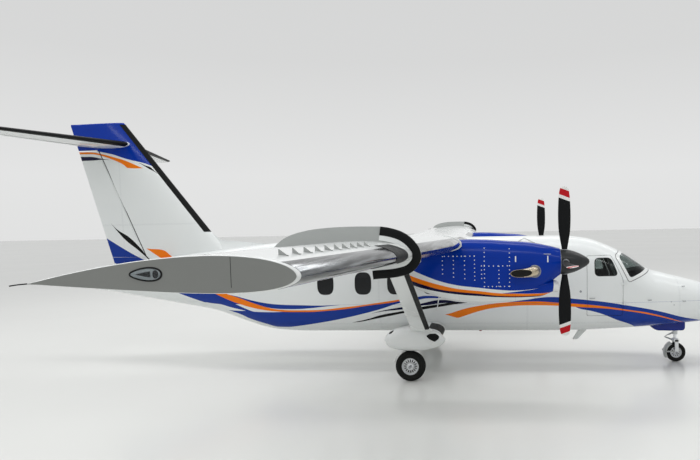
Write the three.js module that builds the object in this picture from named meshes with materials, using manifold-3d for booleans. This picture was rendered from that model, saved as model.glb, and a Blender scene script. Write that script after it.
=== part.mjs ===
// A strut-braced, high-wing airliner with two turboprop engines, parked on its wheels.
// Millimetres. +X is forward, +Y is the aircraft's left, +Z is up; the ground is Z = 0.
import * as THREE from 'three';
import { mergeVertices } from 'three/addons/utils/BufferGeometryUtils.js';
import Module from 'manifold-3d';

const wasm = await Module();
wasm.setup();

// Driving dimensions
const GAP = 0.3; // between pieces that touch
const SWING = 6; // clear of a piece that moves
const END_GAP = 12; // at the ends of a hinged panel
const NOSE_X = 8390;
const COCKPIT_FRONT_X = 6300;
const COCKPIT_REAR_X = 4500;
const TAIL_FRONT_X = -1300;
const SKIN = 30; // cockpit and door walls
const TAIL_WALL = 60;

const WING_BREAK_Y = 4900;
const WING_TIP_Y = 11010;
const WING_LEAD_X = 2150; // leading edge as far as the break
const WING_TIP_LEAD_X = 1705;
const WING_Z = 2900; // leading edge at the centre line
const WING_RISE = 0.0182; // dihedral, as rise over run
const TIP_CAP = 30;

const ENGINE_Y = 3035;
const SHAFT_Z = 2592;
const PROP_X = 4063;
const PROP_RADIUS = 1395;
const NACELLE_FRONT_X = 3960;
const SPINNER_RADIUS = 235;

const MAIN_WHEEL = { x: 942, y: 1870, radius: 321, width: 236 };
const NOSE_WHEEL = { x: 6932, radius: 222, width: 150 };
const AXLE_RADIUS = 30;
const STEER_X = 6920;

// Colours
const WHITE = 0xeceef0;
const BLUE = 0x1b3fa0;
const GREY = 0x8e8f8d;
const BLACK = 0x1d1f20;

const paint = (color, roughness = 0.3, metalness = 0) =>
  new THREE.MeshStandardMaterial({ color, roughness, metalness });
const finish = {
  white: paint(WHITE),
  blue: paint(BLUE, 0.2),
  grey: paint(GREY, 0.5),
  boot: paint(BLACK, 0.6),
  steel: paint(0x9a9ca0, 0.4, 0.8),
  tyre: paint(0x22241f, 0.85),
  blade: paint(0x171a1b, 0.45),
  spinner: paint(0x4a4d4c, 0.45),
  exhaust: paint(0xc9bda5, 0.4, 0.8),
  glass: paint(0x2a3034, 0.08),
  cabin: paint(0x6f6a63, 0.8),
};

// Solids
const FULL_TURN = 2 * Math.PI;
const lerp = THREE.MathUtils.lerp;

function solidOf(geometry) {
  const bare = geometry.clone();
  bare.deleteAttribute('normal');
  bare.deleteAttribute('uv');
  const merged = mergeVertices(bare, 1e-3);
  const at = merged.attributes.position;
  const faces = [];
  let volume = 0;
  const [a, b, c] = [0, 1, 2].map(() => new THREE.Vector3());
  for (let i = 0; i < merged.index.count; i += 3) {
    const corner = [0, 1, 2].map((k) => merged.index.getX(i + k));
    if (new Set(corner).size < 3) continue;
    faces.push(corner);
    a.fromBufferAttribute(at, corner[0]);
    b.fromBufferAttribute(at, corner[1]);
    c.fromBufferAttribute(at, corner[2]);
    volume += a.dot(b.cross(c));
  }
  const outward = volume > 0 ? faces : faces.map((f) => [f[0], f[2], f[1]]);
  return new wasm.Manifold(new wasm.Mesh({
    numProp: 3,
    vertProperties: new Float32Array(at.array),
    triVerts: new Uint32Array(outward.flat()),
  }));
}

// A skin through closed rings of points, with a flat fan over each end
function loft(rings) {
  const count = rings[0].length;
  const points = rings.flat();
  const faces = [];
  for (let r = 0; r + 1 < rings.length; r += 1) {
    for (let i = 0; i < count; i += 1) {
      const j = (i + 1) % count;
      const low = r * count;
      const high = low + count;
      faces.push(low + i, low + j, high + i, low + j, high + j, high + i);
    }
  }
  for (const [ring, start, turn] of [[rings[0], 0, 1], [rings.at(-1), (rings.length - 1) * count, -1]]) {
    const middle = [0, 1, 2].map((k) => ring.reduce((sum, p) => sum + p[k], 0) / count);
    const hub = points.push(middle) - 1;
    for (let i = 0; i < count; i += 1) {
      const j = (i + 1) % count;
      if (turn > 0) faces.push(start + j, start + i, hub);
      else faces.push(start + i, start + j, hub);
    }
  }
  const geometry = new THREE.BufferGeometry();
  geometry.setAttribute('position', new THREE.Float32BufferAttribute(points.flat(), 3));
  geometry.setIndex(faces);
  return solidOf(geometry);
}

const block = (size, centre) => solidOf(new THREE.BoxGeometry(...size).translate(...centre));

const AXIS_TURN = { x: [0, 0, -Math.PI / 2], y: [0, 0, 0], z: [Math.PI / 2, 0, 0] };

function turnTo(geometry, axis) {
  const [rx, , rz] = AXIS_TURN[axis];
  return geometry.rotateX(rx).rotateZ(rz);
}

const rod = (radius, length, axis, centre, sides = 24) =>
  solidOf(turnTo(new THREE.CylinderGeometry(radius, radius, length, sides), axis).translate(...centre));

// A profile of [radius, distance along the axis], turned about that axis
const turned = (profile, axis, centre, sides, start = 0) => {
  const outline = profile.map(([radius, along]) => new THREE.Vector2(radius, along));
  return solidOf(turnTo(new THREE.LatheGeometry(outline, sides, start), axis).translate(...centre));
};

// A round bar from one point to another, reaching past both by the same length
function bar(from, to, radius, past, sides = 16) {
  const [start, end] = [new THREE.Vector3(...from), new THREE.Vector3(...to)];
  const length = start.distanceTo(end) + 2 * past;
  const geometry = new THREE.CylinderGeometry(radius, radius, length, sides);
  const aim = end.clone().sub(start).normalize();
  geometry.applyQuaternion(new THREE.Quaternion().setFromUnitVectors(new THREE.Vector3(0, 1, 0), aim));
  return solidOf(geometry.translate(...start.lerp(end, 0.5).toArray()));
}

// A side view outline of [x, z], taken through from y0 to y1
function sidePrism(outline, y0, y1) {
  const shape = new THREE.Shape(outline.map(([x, z]) => new THREE.Vector2(x, z)));
  const geometry = new THREE.ExtrudeGeometry(shape, { depth: y1 - y0, bevelEnabled: false });
  return solidOf(geometry.rotateX(Math.PI / 2).translate(0, y1, 0));
}

const mirrored = (solid) => solid.mirror([0, 1, 0]);
const onSide = (solid, side) => (side < 0 ? solid : mirrored(solid));
const join = (...solids) => solids.reduce((sum, solid) => sum.add(solid));
const biggest = (solid) =>
  solid.decompose().reduce((best, body) => (body.volume() > best.volume() ? body : best));

const aircraft = new THREE.Group();

function piece(name, material, solid, place = [0, 0, 0]) {
  const { vertProperties, triVerts } = solid.getMesh();
  const geometry = new THREE.BufferGeometry();
  geometry.setAttribute('position', new THREE.BufferAttribute(new Float32Array(vertProperties), 3));
  geometry.setIndex(new THREE.BufferAttribute(new Uint32Array(triVerts), 1));
  geometry.computeVertexNormals();
  const mesh = new THREE.Mesh(geometry, material);
  mesh.name = name;
  mesh.position.set(...place);
  aircraft.add(mesh);
  return mesh;
}

// The right side of the aircraft is -Y
const SIDES = [['right', -1], ['left', 1]];

// Rounded sections: a superellipse, whose power sets how square the corners are
function roundRing(x, y, top, bottom, half, power, count) {
  const ring = [];
  const middle = (top + bottom) / 2;
  const reach = (top - bottom) / 2;
  for (let i = 0; i < count; i += 1) {
    const angle = ((i + 0.5) / count) * FULL_TURN;
    const c = Math.cos(angle);
    const s = Math.sin(angle);
    ring.push([
      x,
      y + half * Math.sign(c) * Math.abs(c) ** (2 / power),
      middle + reach * Math.sign(s) * Math.abs(s) ** (2 / power),
    ]);
  }
  return ring;
}

// A body lofted along X from a table of x, top, bottom, half width, power
function tableBody(table, x0, x1, inset, centreY = 0, count = 28) {
  const columns = 4;
  const smooth = new THREE.CubicInterpolant(
    table.map((row) => row[0]),
    table.flatMap((row) => row.slice(1)),
    columns,
  );
  const stations = [x0, ...table.map((row) => row[0]).filter((x) => x > x0 + 1 && x < x1 - 1), x1];
  return loft(stations.map((x) => {
    const [top, bottom, half, power] = smooth.evaluate(x);
    return roundRing(x, centreY, top - inset, bottom + inset, half - inset, power, count);
  }));
}

// Fuselage
const FUSELAGE = [
  // x, top, bottom, half width, power
  [-7760, 2250, 2020, 60, 2],
  [-7650, 2330, 1900, 120, 2],
  [-7000, 2450, 1770, 240, 2.1],
  [-6044, 2575, 1608, 390, 2.3],
  [-5000, 2690, 1440, 570, 2.5],
  [-4015, 2790, 1262, 740, 2.7],
  [-3300, 2870, 1020, 845, 2.8],
  [-2700, 2930, 850, 905, 2.9],
  [-2000, 2985, 790, 940, 3],
  [-1300, 3000, 785, 945, 3],
  [-600, 3000, 785, 945, 3],
  [3400, 3000, 785, 945, 3],
  [4000, 3000, 785, 945, 3],
  [4500, 2982, 790, 936, 3],
  [4935, 2915, 800, 918, 2.9],
  [5280, 2790, 815, 892, 2.8],
  [5714, 2570, 835, 848, 2.7],
  [5990, 2385, 850, 812, 2.6],
  [6260, 2200, 868, 772, 2.5],
  [6600, 2100, 890, 715, 2.4],
  [7000, 1995, 925, 635, 2.3],
  [7474, 1860, 975, 520, 2.2],
  [7950, 1690, 1045, 370, 2.1],
  [8200, 1570, 1115, 255, 2],
  [8340, 1465, 1185, 150, 2],
  [NOSE_X, 1370, 1290, 45, 2],
];
const hull = (x0, x1, inset = 0) => tableBody(FUSELAGE, x0, x1, inset);
const wholeHull = hull(FUSELAGE[0][0], NOSE_X, -GAP);

// Crew door, side window and windscreen outlines in side view
const DOOR = { rear: 4775, front: 5569, sill: 1213, head: 2563, shoulder: 2034, headFront: 5330 };
const doorOutline = (inset) => [
  [DOOR.rear + inset, DOOR.sill + inset],
  [DOOR.front - inset, DOOR.sill + inset],
  [DOOR.front - inset, DOOR.shoulder],
  [DOOR.headFront - inset, DOOR.head - inset],
  [DOOR.rear + inset + 60, DOOR.head - inset],
  [DOOR.rear + inset + 16, DOOR.head - 80],
  [DOOR.rear + inset, DOOR.head - 400],
];
const doorHole = [
  [DOOR.rear, DOOR.sill],
  [DOOR.front, DOOR.sill],
  [DOOR.front, DOOR.shoulder],
  [DOOR.headFront, DOOR.head],
  [DOOR.rear, DOOR.head],
];
const sideWindow = (grow) => [
  [4953 - grow, 2110 - grow],
  [5460 + grow, 2110 - grow],
  [5300 + grow, 2490 + grow],
  [5010 - grow, 2490 + grow],
  [4953 - grow, 2440 + grow],
];
const windscreenOutline = (grow) => [
  [5700 - grow, 1950 - grow],
  [6262 + grow, 2196 - grow],
  [6290 + grow, 2330],
  [5650, 2690 + grow],
  [5420 - grow, 2545 + grow],
];
const POST = 70; // width of the windscreen's centre post
const PANE = 8; // thickness of a window pane
const WIDE = 1200; // past the fuselage's side

const cockpitOuter = hull(COCKPIT_REAR_X + GAP, COCKPIT_FRONT_X);
const cockpitInner = hull(COCKPIT_REAR_X - 10, COCKPIT_FRONT_X + 10, SKIN);
const cockpitWall = cockpitOuter.subtract(cockpitInner);
const centrePost = block([1000, POST, 1000], [5900, 0, 2300]);
const screenHole = sidePrism(windscreenOutline(0), -WIDE, WIDE).subtract(centrePost);
const crewHoles = sidePrism(doorHole, -WIDE, WIDE);

// Crew doors hang on two knuckles ahead of their front edge
const HINGE = { x: DOOR.front + 15, y: 880, radius: 14, heights: [1420, 1900], knuckle: 60, tab: 44 };

function knuckle(side, low, high, tabX) {
  const centre = [HINGE.x, side * HINGE.y, (low + high) / 2];
  const tabLength = Math.abs(tabX - HINGE.x);
  const tab = [(HINGE.x + tabX) / 2, side * (HINGE.y - HINGE.tab / 2), (low + high) / 2];
  return rod(HINGE.radius, high - low, 'z', centre, 16).add(block([tabLength, HINGE.tab, high - low], tab));
}

// Each door knuckle closes into a notch in the wall
const knuckleNotch = (side, z) => block([HINGE.x - DOOR.front + 2 * SWING, 100, HINGE.knuckle + SWING], [
  (HINGE.x + DOOR.front) / 2, side * (HINGE.y - 50), z + (HINGE.knuckle - SWING) / 2,
]);

let cockpit = cockpitWall.subtract(screenHole).subtract(crewHoles);
for (const [, side] of SIDES) {
  for (const z of HINGE.heights) {
    cockpit = cockpit.subtract(knuckleNotch(side, z));
    cockpit = cockpit.add(knuckle(side, z + HINGE.knuckle + GAP, z + 2 * HINGE.knuckle, HINGE.x + 60));
  }
}
piece('cockpit_section', finish.white, biggest(cockpit));
piece('nose_section', finish.white, hull(COCKPIT_FRONT_X + GAP, NOSE_X));
piece('cabin_section', finish.white, hull(TAIL_FRONT_X + GAP, COCKPIT_REAR_X));

const paneWall = hull(COCKPIT_REAR_X, COCKPIT_FRONT_X - 1, SKIN + GAP)
  .subtract(hull(COCKPIT_REAR_X - 10, COCKPIT_FRONT_X + 10, SKIN + PANE));
piece('windscreen', finish.glass, biggest(paneWall.intersect(sidePrism(windscreenOutline(12), -WIDE, WIDE))));

const doorWall = hull(COCKPIT_REAR_X, COCKPIT_FRONT_X).subtract(cockpitInner);
for (const [name, side] of SIDES) {
  const [y0, y1] = side < 0 ? [-WIDE, 0] : [0, WIDE];
  let door = doorWall.intersect(sidePrism(doorOutline(SWING), y0, y1));
  door = door.subtract(sidePrism(sideWindow(0), y0, y1));
  for (const z of HINGE.heights) {
    door = door.add(knuckle(side, z, z + HINGE.knuckle, HINGE.x - 60));
  }
  piece(`crew_door_${name}`, finish.white, biggest(door));
  const pane = biggest(paneWall.intersect(sidePrism(sideWindow(25), y0, y1)));
  piece(`crew_door_window_${name}`, finish.glass, pane);
}

// Flight deck
const FLOOR_Z = 1180;
const roomFor = (inset) => hull(COCKPIT_REAR_X + 5, COCKPIT_FRONT_X - 5, SKIN + inset);
const floorSlab = block([1780, 2000, 40], [5400, 0, FLOOR_Z - 20]);
piece('cockpit_floor', finish.cabin, floorSlab.intersect(roomFor(GAP)));
const panelBody = join(
  block([260, 1500, 330], [5900, 0, 1830]),
  block([300, 260, 620 - GAP], [5860, 0, FLOOR_Z + GAP + 310]),
);
piece('instrument_panel', finish.boot, panelBody.intersect(roomFor(60)));
for (const [name, side] of SIDES) {
  const y = side * 400;
  const seat = join(
    block([300, 300, 300], [5010, y, FLOOR_Z + GAP + 150]),
    block([480, 460, 130], [5060, y, FLOOR_Z + 350]),
    block([120, 460, 720], [4830, y, FLOOR_Z + 640]),
  );
  piece(`pilot_seat_${name}`, finish.cabin, seat);
}

// Tail section with the entry door at its left front
const ENTRY = { rear: -2380, front: -1620, sill: 1160, head: 2600 };
const ENTRY_HINGE = { y: 850, z: 1150, radius: 14, tabs: [-2200, -1800], knuckle: 60, tab: 44 };
const entryHole = (inset) => [
  [ENTRY.rear + inset, ENTRY.sill + inset],
  [ENTRY.front - inset, ENTRY.sill + inset],
  [ENTRY.front - inset, ENTRY.head - inset],
  [ENTRY.rear + inset, ENTRY.head - inset],
];
const tailRoom = hull(-6900, TAIL_FRONT_X + 10, TAIL_WALL)
  .intersect(block([6000, 2400, 2000], [-4290, 0, ENTRY.sill + 1000]));
const tailOuter = hull(FUSELAGE[0][0], TAIL_FRONT_X);

const entryNotch = (x) => block([ENTRY_HINGE.knuckle + SWING, 100, 2 * SWING + 10], [
  x - (ENTRY_HINGE.knuckle + SWING) / 2, ENTRY_HINGE.y - 40, ENTRY.sill - SWING,
]);

function entryKnuckle(x, isDoor) {
  const { y, z, radius, knuckle: length, tab: size } = ENTRY_HINGE;
  const centreX = x + (isDoor ? -1 : 1) * (length + GAP) / 2;
  const pin = rod(radius, length, 'x', [centreX, y, z], 16);
  return pin.add(block([length, size, length], [centreX, y - size / 2, z + (isDoor ? 0.5 : -0.5) * length]));
}

let tail = tailOuter.subtract(tailRoom).subtract(sidePrism(entryHole(0), 0, WIDE));
let entryDoor = tailOuter.subtract(tailRoom).intersect(sidePrism(entryHole(SWING), 0, WIDE));
for (const x of ENTRY_HINGE.tabs) {
  tail = tail.subtract(entryNotch(x)).add(entryKnuckle(x, false));
  entryDoor = entryDoor.add(entryKnuckle(x, true));
}
piece('tail_section', finish.white, biggest(tail));
piece('entry_door', finish.white, biggest(entryDoor));

// Wings and tail surfaces share one aerofoil, in [x, height] across a station
const CHORD_STEPS = [0, 0.006, 0.025, 0.06, 0.12, 0.2, 0.3, 0.45, 0.6, 0.76, 0.9, 1];
const EDGE = 3; // half thickness of a trailing edge

function halfThickness(u, thick) {
  const shape = 0.2969 * Math.sqrt(u) - 0.126 * u - 0.3516 * u ** 2 + 0.2843 * u ** 3 - 0.1036 * u ** 4;
  return 5 * thick * shape;
}

const midLine = (u, camber, droop) => 4 * camber * u * (1 - u) - droop * u;

// station: lead, trail, thick, camber, droop
function foilRing(station, grow = 0) {
  const { lead, trail, thick, camber = 0, droop = 0 } = station;
  const chord = lead - trail;
  const row = (u, sign) => [
    lead - u * chord + grow * (1 - 2 * u),
    chord * (midLine(u, camber, droop) + sign * halfThickness(u, thick)) + sign * (EDGE * u + grow),
  ];
  const over = CHORD_STEPS.toReversed().map((u) => row(u, 1));
  const under = CHORD_STEPS.slice(1).map((u) => row(u, -1));
  over[over.length - 1][1] = 0;
  return [...over, ...under];
}

// Middle height and half thickness of a station where x is given
function foilAt(station, x) {
  const { lead, trail, thick, camber = 0, droop = 0 } = station;
  const chord = lead - trail;
  const u = (lead - x) / chord;
  return [chord * midLine(u, camber, droop), chord * halfThickness(u, thick)];
}

const ARC_STEPS = 8;
const noseArc = ([x, n], radius, from = 90, to = -90) => Array.from({ length: ARC_STEPS + 1 }, (_, i) => {
  const angle = THREE.MathUtils.degToRad(lerp(from, to, i / ARC_STEPS));
  return [x + radius * Math.cos(angle), n + radius * Math.sin(angle)];
});

// A hinged panel between two ends of { s, x, n, radius, trail, edge }, with a round nose on its axis
const panelRing = (end) => [
  [end.trail, end.edge + EDGE],
  ...noseArc([end.x, end.n], end.radius),
  [end.trail, end.edge - EDGE],
];

// The cove that it turns in: its lips stand back along the panel's faces at full travel
const COVE_TALL = 260;
const COVE_AFT = 1300;
function coveRing(end, clear, up, down) {
  const wall = (angle, sign) => {
    const turn = THREE.MathUtils.degToRad(angle);
    const radius = end.radius + clear;
    const reach = (COVE_TALL - radius * Math.cos(turn)) / Math.sin(turn);
    return [end.x + radius * Math.sin(turn) - reach * Math.cos(turn), end.n + sign * COVE_TALL];
  };
  return [
    [end.x - COVE_AFT, end.n + COVE_TALL],
    wall(up, 1),
    ...noseArc([end.x, end.n], end.radius + clear, 90 - up, down - 90),
    wall(down, -1),
    [end.x - COVE_AFT, end.n - COVE_TALL],
  ];
}
const between = (a, b, s) => {
  const k = (s - a.s) / (b.s - a.s);
  const mix = (key) => lerp(a[key], b[key], k);
  return { s, x: mix('x'), n: mix('n'), radius: mix('radius'), trail: mix('trail'), edge: mix('edge') };
};
const PIN = { radius: 18, bore: 19, seat: 14 };

// place turns ([x, n], s) into a point; a pin on the axis reaches from each end into its bore
function hingedPanel(a, b, place, { up, down, clear = SWING, ends = [END_GAP, END_GAP] }) {
  const ring = (end, shape) => shape.map((point) => place(point, end.s));
  const panel = loft([ring(a, panelRing(a)), ring(b, panelRing(b))]);
  const first = between(a, b, a.s - ends[0]);
  const last = between(a, b, b.s + ends[1]);
  const cove = loft([first, last].map((end) => ring(end, coveRing(end, clear, up, down))));
  const axis = [first, last].map((end) => place([end.x, end.n], end.s));
  const pin = bar(...axis, PIN.radius, PIN.seat);
  const bore = bar(...axis, PIN.bore, PIN.seat + GAP);
  return { panel: panel.add(pin), cove: cove.add(bore) };
}

// Wing
function wingStation(y) {
  const k = Math.max(0, (y - WING_BREAK_Y) / (WING_TIP_Y - WING_BREAK_Y));
  return {
    lead: lerp(WING_LEAD_X, WING_TIP_LEAD_X, k),
    trail: 0,
    thick: lerp(0.15, 0.133, k),
    camber: 0.0165,
    droop: 0.018,
  };
}
const onWing = (side) => ([x, n], y) => [x, side * y, WING_Z + WING_RISE * Math.abs(y) + n];
function wingSlab(stations, side, grow = 0) {
  const place = onWing(side);
  return loft(stations.map((y) => foilRing(wingStation(Math.abs(y)), grow).map((point) => place(point, y))));
}

const FENCE_Y = 8000;
const FLAP = { inner: 1000, outer: FENCE_Y - 100, hinge: 520, up: 12, down: 36 };
const AILERON = { inner: FENCE_Y + 100, outer: 10650, hinge: 430, up: 22, down: 22 };

function wingEnd(y, hingeX) {
  const station = wingStation(y);
  const [n, radius] = foilAt(station, hingeX);
  return { s: y, x: hingeX, n, radius, trail: 0, edge: -station.droop * station.lead };
}

const wingPanel = (panel, side) => hingedPanel(
  wingEnd(panel.inner, panel.hinge),
  wingEnd(panel.outer, panel.hinge),
  onWing(side),
  panel,
);

// The centre runs through both sides, so its table of stations crosses zero
const centreStations = [-WING_BREAK_Y, 0, WING_BREAK_Y];
const centreWing = (grow) => wingSlab(centreStations, 1, grow);
const wholeWing = join(
  centreWing(GAP),
  wingSlab([WING_BREAK_Y - 1, WING_TIP_Y], 1, GAP),
  wingSlab([WING_BREAK_Y - 1, WING_TIP_Y], -1, GAP),
);
let wingCentre = centreWing(0).subtract(wholeHull);

const FENCE_OUTLINE = [
  // x, z
  [397, 3150],
  [570, 3270],
  [976, 3348],
  [1582, 3353],
  [1690, 3334],
  [1829, 3278],
  [1935, 3190],
  [2000, 3072],
  [1995, 2975],
  [1906, 2864],
  [1796, 2817],
  [1489, 2780],
  [900, 2850],
  [1000, 3060],
];
const FENCE_THICKNESS = 26;

for (const [name, side] of SIDES) {
  const flap = wingPanel(FLAP, side);
  const aileron = wingPanel(AILERON, side);
  wingCentre = wingCentre.subtract(flap.cove);
  const outer = wingSlab([WING_BREAK_Y + GAP, WING_TIP_Y - TIP_CAP - GAP], side);
  piece(`wing_outer_${name}`, finish.white, biggest(outer.subtract(flap.cove).subtract(aileron.cove)));
  piece(`flap_${name}`, finish.white, flap.panel);
  piece(`aileron_${name}`, finish.white, aileron.panel);
  const capRings = [[WING_TIP_Y - TIP_CAP, 0], [WING_TIP_Y - 8, 0], [WING_TIP_Y, -7]];
  const cap = loft(capRings.map(([y, grow]) =>
    foilRing(wingStation(y), grow).map((point) => onWing(side)(point, y))));
  piece(`wing_tip_${name}`, finish.grey, cap);
  const fenceY = [side * FENCE_Y - FENCE_THICKNESS / 2, side * FENCE_Y + FENCE_THICKNESS / 2];
  piece(`wing_fence_${name}`, finish.boot, biggest(sidePrism(FENCE_OUTLINE, ...fenceY).subtract(wholeWing)));
}
piece('wing_centre', finish.white, biggest(wingCentre));

// Landing gear pods, each on a stub from the fuselage
const POD = [
  // x, top, bottom, half width, power
  [400, 930, 850, 60, 2],
  [450, 1010, 770, 130, 2.1],
  [600, 1110, 690, 200, 2.3],
  [900, 1165, 655, 235, 2.4],
  [1200, 1150, 665, 230, 2.4],
  [1480, 1070, 720, 185, 2.3],
  [1630, 990, 790, 120, 2.1],
  [1690, 920, 860, 50, 2],
];
const POD_Y = 1870;
const podBody = (grow) => tableBody(POD, POD[0][0], POD.at(-1)[0], -grow, -POD_Y, 20);
const STUB = { lead: 1600, trail: 470, thick: 0.28, innerY: 800, z: 930 };
const stub = loft([STUB.innerY, POD_Y].map((y) => foilRing(STUB).map(([x, n]) => [x, -y, STUB.z + n])));
const JACK_PAD = { x: 1200, y: 1300, z: 760, radius: 35, height: 60 };
const jackPad = rod(JACK_PAD.radius, JACK_PAD.height, 'z', [
  JACK_PAD.x, -JACK_PAD.y, JACK_PAD.z + JACK_PAD.height / 2,
]);
const gearPod = join(podBody(0), stub, jackPad).subtract(wholeHull);

// Wing struts
const STRUT = [
  // y, z, lead, trail
  [1850, 1020, 1392, 1000],
  [5220, 2840, 1370, 1045],
];
const strutBody = loft(STRUT.map(([y, z, lead, trail]) =>
  foilRing({ lead, trail, thick: 0.24 }).map(([x, n]) => [x, -y - 0.47 * n, z + 0.88 * n])));
const strutCut = strutBody.subtract(podBody(GAP)).subtract(wholeWing);

// Main legs: a cranked arm inboard of each wheel, with its axle
const LEG = { y: 1690, width: 90 };
const mainLeg = join(
  sidePrism([
    [760, 700], [960, 700], [1030, 500], [1010, 280], [910, 250], [870, 300], [880, 480],
  ], -LEG.y - LEG.width / 2, -LEG.y + LEG.width / 2),
  rod(AXLE_RADIUS, 330, 'y', [MAIN_WHEEL.x, -(LEG.y + 150), MAIN_WHEEL.radius]),
);
const mainLegCut = biggest(mainLeg.subtract(podBody(GAP)));

for (const [name, side] of SIDES) {
  piece(`gear_pod_${name}`, finish.white, onSide(biggest(gearPod), side));
  piece(`wing_strut_${name}`, finish.white, onSide(biggest(strutCut), side));
  piece(`main_leg_${name}`, finish.steel, onSide(mainLegCut, side));
}

// Wheels turn about Y; profiles run outer face to inner face as [radius, along]
const RIM_RADIUS = { main: 183, nose: 130 };
const WHEEL_SIDES = 24;
const FLAT = Math.cos(Math.PI / WHEEL_SIDES); // a wheel stands on a flat, not on a corner
const wheelRound = (profile) => turned(
  profile.map(([radius, along]) => [radius / FLAT, along]),
  'y',
  [0, 0, 0],
  WHEEL_SIDES,
  Math.PI / WHEEL_SIDES,
);
function tyreSolid(radius, rim, width) {
  const half = width / 2;
  return wheelRound([
    [rim, -half * 0.72],
    [rim + 25, -half * 0.95],
    [(rim + radius) / 2, -half],
    [radius * 0.95, -half * 0.75],
    [radius, -half * 0.25],
    [radius, half * 0.25],
    [radius * 0.95, half * 0.75],
    [(rim + radius) / 2, half],
    [rim + 25, half * 0.95],
    [rim, half * 0.72],
    [rim, -half * 0.72],
  ]);
}
function rimSolid(rim, width, bore) {
  const half = width / 2;
  const face = rim - GAP;
  return wheelRound([
    [bore, -half * 0.75],
    [bore + 40, -half * 0.75],
    [bore + 50, -half * 0.38],
    [face * 0.86, -half * 0.38],
    [face, -half * 0.72],
    [face, half * 0.72],
    [face * 0.86, half * 0.38],
    [bore + 50, half * 0.38],
    [bore + 40, half * 0.75],
    [bore, half * 0.75],
    [bore, -half * 0.75],
  ]);
}

const BORE = AXLE_RADIUS + 1;
for (const [name, side] of SIDES) {
  const at = [MAIN_WHEEL.x, side * MAIN_WHEEL.y, MAIN_WHEEL.radius];
  const tyre = tyreSolid(MAIN_WHEEL.radius, RIM_RADIUS.main, MAIN_WHEEL.width);
  piece(`main_tyre_${name}`, finish.tyre, tyre, at);
  piece(`main_rim_${name}`, finish.steel, rimSolid(RIM_RADIUS.main, MAIN_WHEEL.width, BORE), at);
}

// Nose gear
const LEG_FOOT_Z = 560;
const FORK = { crownTop: LEG_FOOT_Z - GAP, crownBottom: 478, armIn: 84, armOut: 112 };
const noseFairing = tableBody([
  // x, top, bottom, half width, power
  [6340, 960, 880, 60, 2.4],
  [6420, 1000, 790, 130, 2.6],
  [6600, 1020, 735, 160, 2.8],
  [7000, 1040, 735, 150, 2.8],
  [7110, 1020, 800, 90, 2.6],
], 6340, 7110, 0, 0, 20).subtract(wholeHull);
const legBore = rod(56, 900, 'z', [STEER_X, 0, 900]);
piece('nose_gear_fairing', finish.blue, biggest(noseFairing.subtract(legBore)));
const noseLeg = rod(55, 500, 'z', [STEER_X, 0, LEG_FOOT_Z + 250]);
piece('nose_leg', finish.steel, biggest(noseLeg.subtract(wholeHull)));

const armHeight = FORK.crownBottom + 10 - NOSE_WHEEL.radius;
const forkArm = (side) => block([78, FORK.armOut - FORK.armIn, armHeight + 20], [
  NOSE_WHEEL.x, side * (FORK.armIn + FORK.armOut) / 2, NOSE_WHEEL.radius + armHeight / 2,
]);
const noseFork = join(
  block([120, 2 * FORK.armOut, FORK.crownTop - FORK.crownBottom], [
    STEER_X, 0, (FORK.crownTop + FORK.crownBottom) / 2,
  ]),
  forkArm(-1),
  forkArm(1),
  rod(AXLE_RADIUS, 2 * FORK.armOut, 'y', [NOSE_WHEEL.x, 0, NOSE_WHEEL.radius]),
  sidePrism([[6865, 500], [6865, 555], [6700, 590], [6690, 565]], -22, 22),
);
piece('nose_fork', finish.steel, noseFork);

// The curved guard behind the nose wheel hangs on two stays
const GUARD = { inner: 262, outer: 274, half: 92, from: -28, to: 62 };
const guardArc = (radius, from, to) => Array.from({ length: 9 }, (_, i) => {
  const angle = THREE.MathUtils.degToRad(lerp(from, to, i / 8));
  return [NOSE_WHEEL.x - radius * Math.cos(angle), NOSE_WHEEL.radius + radius * Math.sin(angle)];
});
const guardPlate = sidePrism(
  [...guardArc(GUARD.inner, GUARD.from, GUARD.to), ...guardArc(GUARD.outer, GUARD.to, GUARD.from)],
  -GUARD.half,
  GUARD.half,
);
const stayEnd = NOSE_WHEEL.x - 39 - GAP;
const guardStay = (side) => block([stayEnd - 6664, 10, 30], [
  (stayEnd + 6664) / 2, side * (FORK.armIn + 5), NOSE_WHEEL.radius + 30,
]);
piece('nose_mudguard', finish.grey, join(guardPlate, guardStay(-1), guardStay(1)));
const noseAt = [NOSE_WHEEL.x, 0, NOSE_WHEEL.radius];
piece('nose_tyre', finish.tyre, tyreSolid(NOSE_WHEEL.radius, RIM_RADIUS.nose, NOSE_WHEEL.width), noseAt);
piece('nose_rim', finish.steel, rimSolid(RIM_RADIUS.nose, NOSE_WHEEL.width, BORE), noseAt);

// Engine nacelles, open at the front round the propeller shaft
const NACELLE = [
  // x, top, bottom, half width, power
  [640, 2880, 2640, 170, 2.2],
  [850, 2920, 2400, 240, 2.3],
  [1213, 2960, 2150, 300, 2.4],
  [1868, 3010, 1906, 355, 2.5],
  [2150, 3040, 1867, 368, 2.6],
  [2621, 3030, 1847, 370, 2.6],
  [3000, 3000, 1880, 365, 2.6],
  [3464, 2960, 2030, 345, 2.5],
  [3800, 2890, 2220, 295, 2.3],
  [NACELLE_FRONT_X, 2848, 2340, 252, 2],
];
const INTAKE = [
  // x, top, bottom, half width, power
  [2700, 2200, 1850, 260, 2.6],
  [3184, 2240, 1873, 270, 2.6],
  [3464, 2256, 1907, 258, 2.6],
  [3600, 2260, 1945, 240, 2.6],
  [3845, 2262, 2043, 190, 2.6],
];
const ENGINE = { rear: 2400, shoulder: 3600, front: 3880, radius: 215, neck: 140 };
const BAY = { end: 3700, radius: 235, mouth: 180 };
const cowl = (grow) => tableBody(NACELLE, NACELLE[0][0], NACELLE_FRONT_X, -grow, -ENGINE_Y, 20);
const scoop = (x0, x1, inset) => tableBody(INTAKE, x0, x1, inset, -ENGINE_Y, 16);
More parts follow.
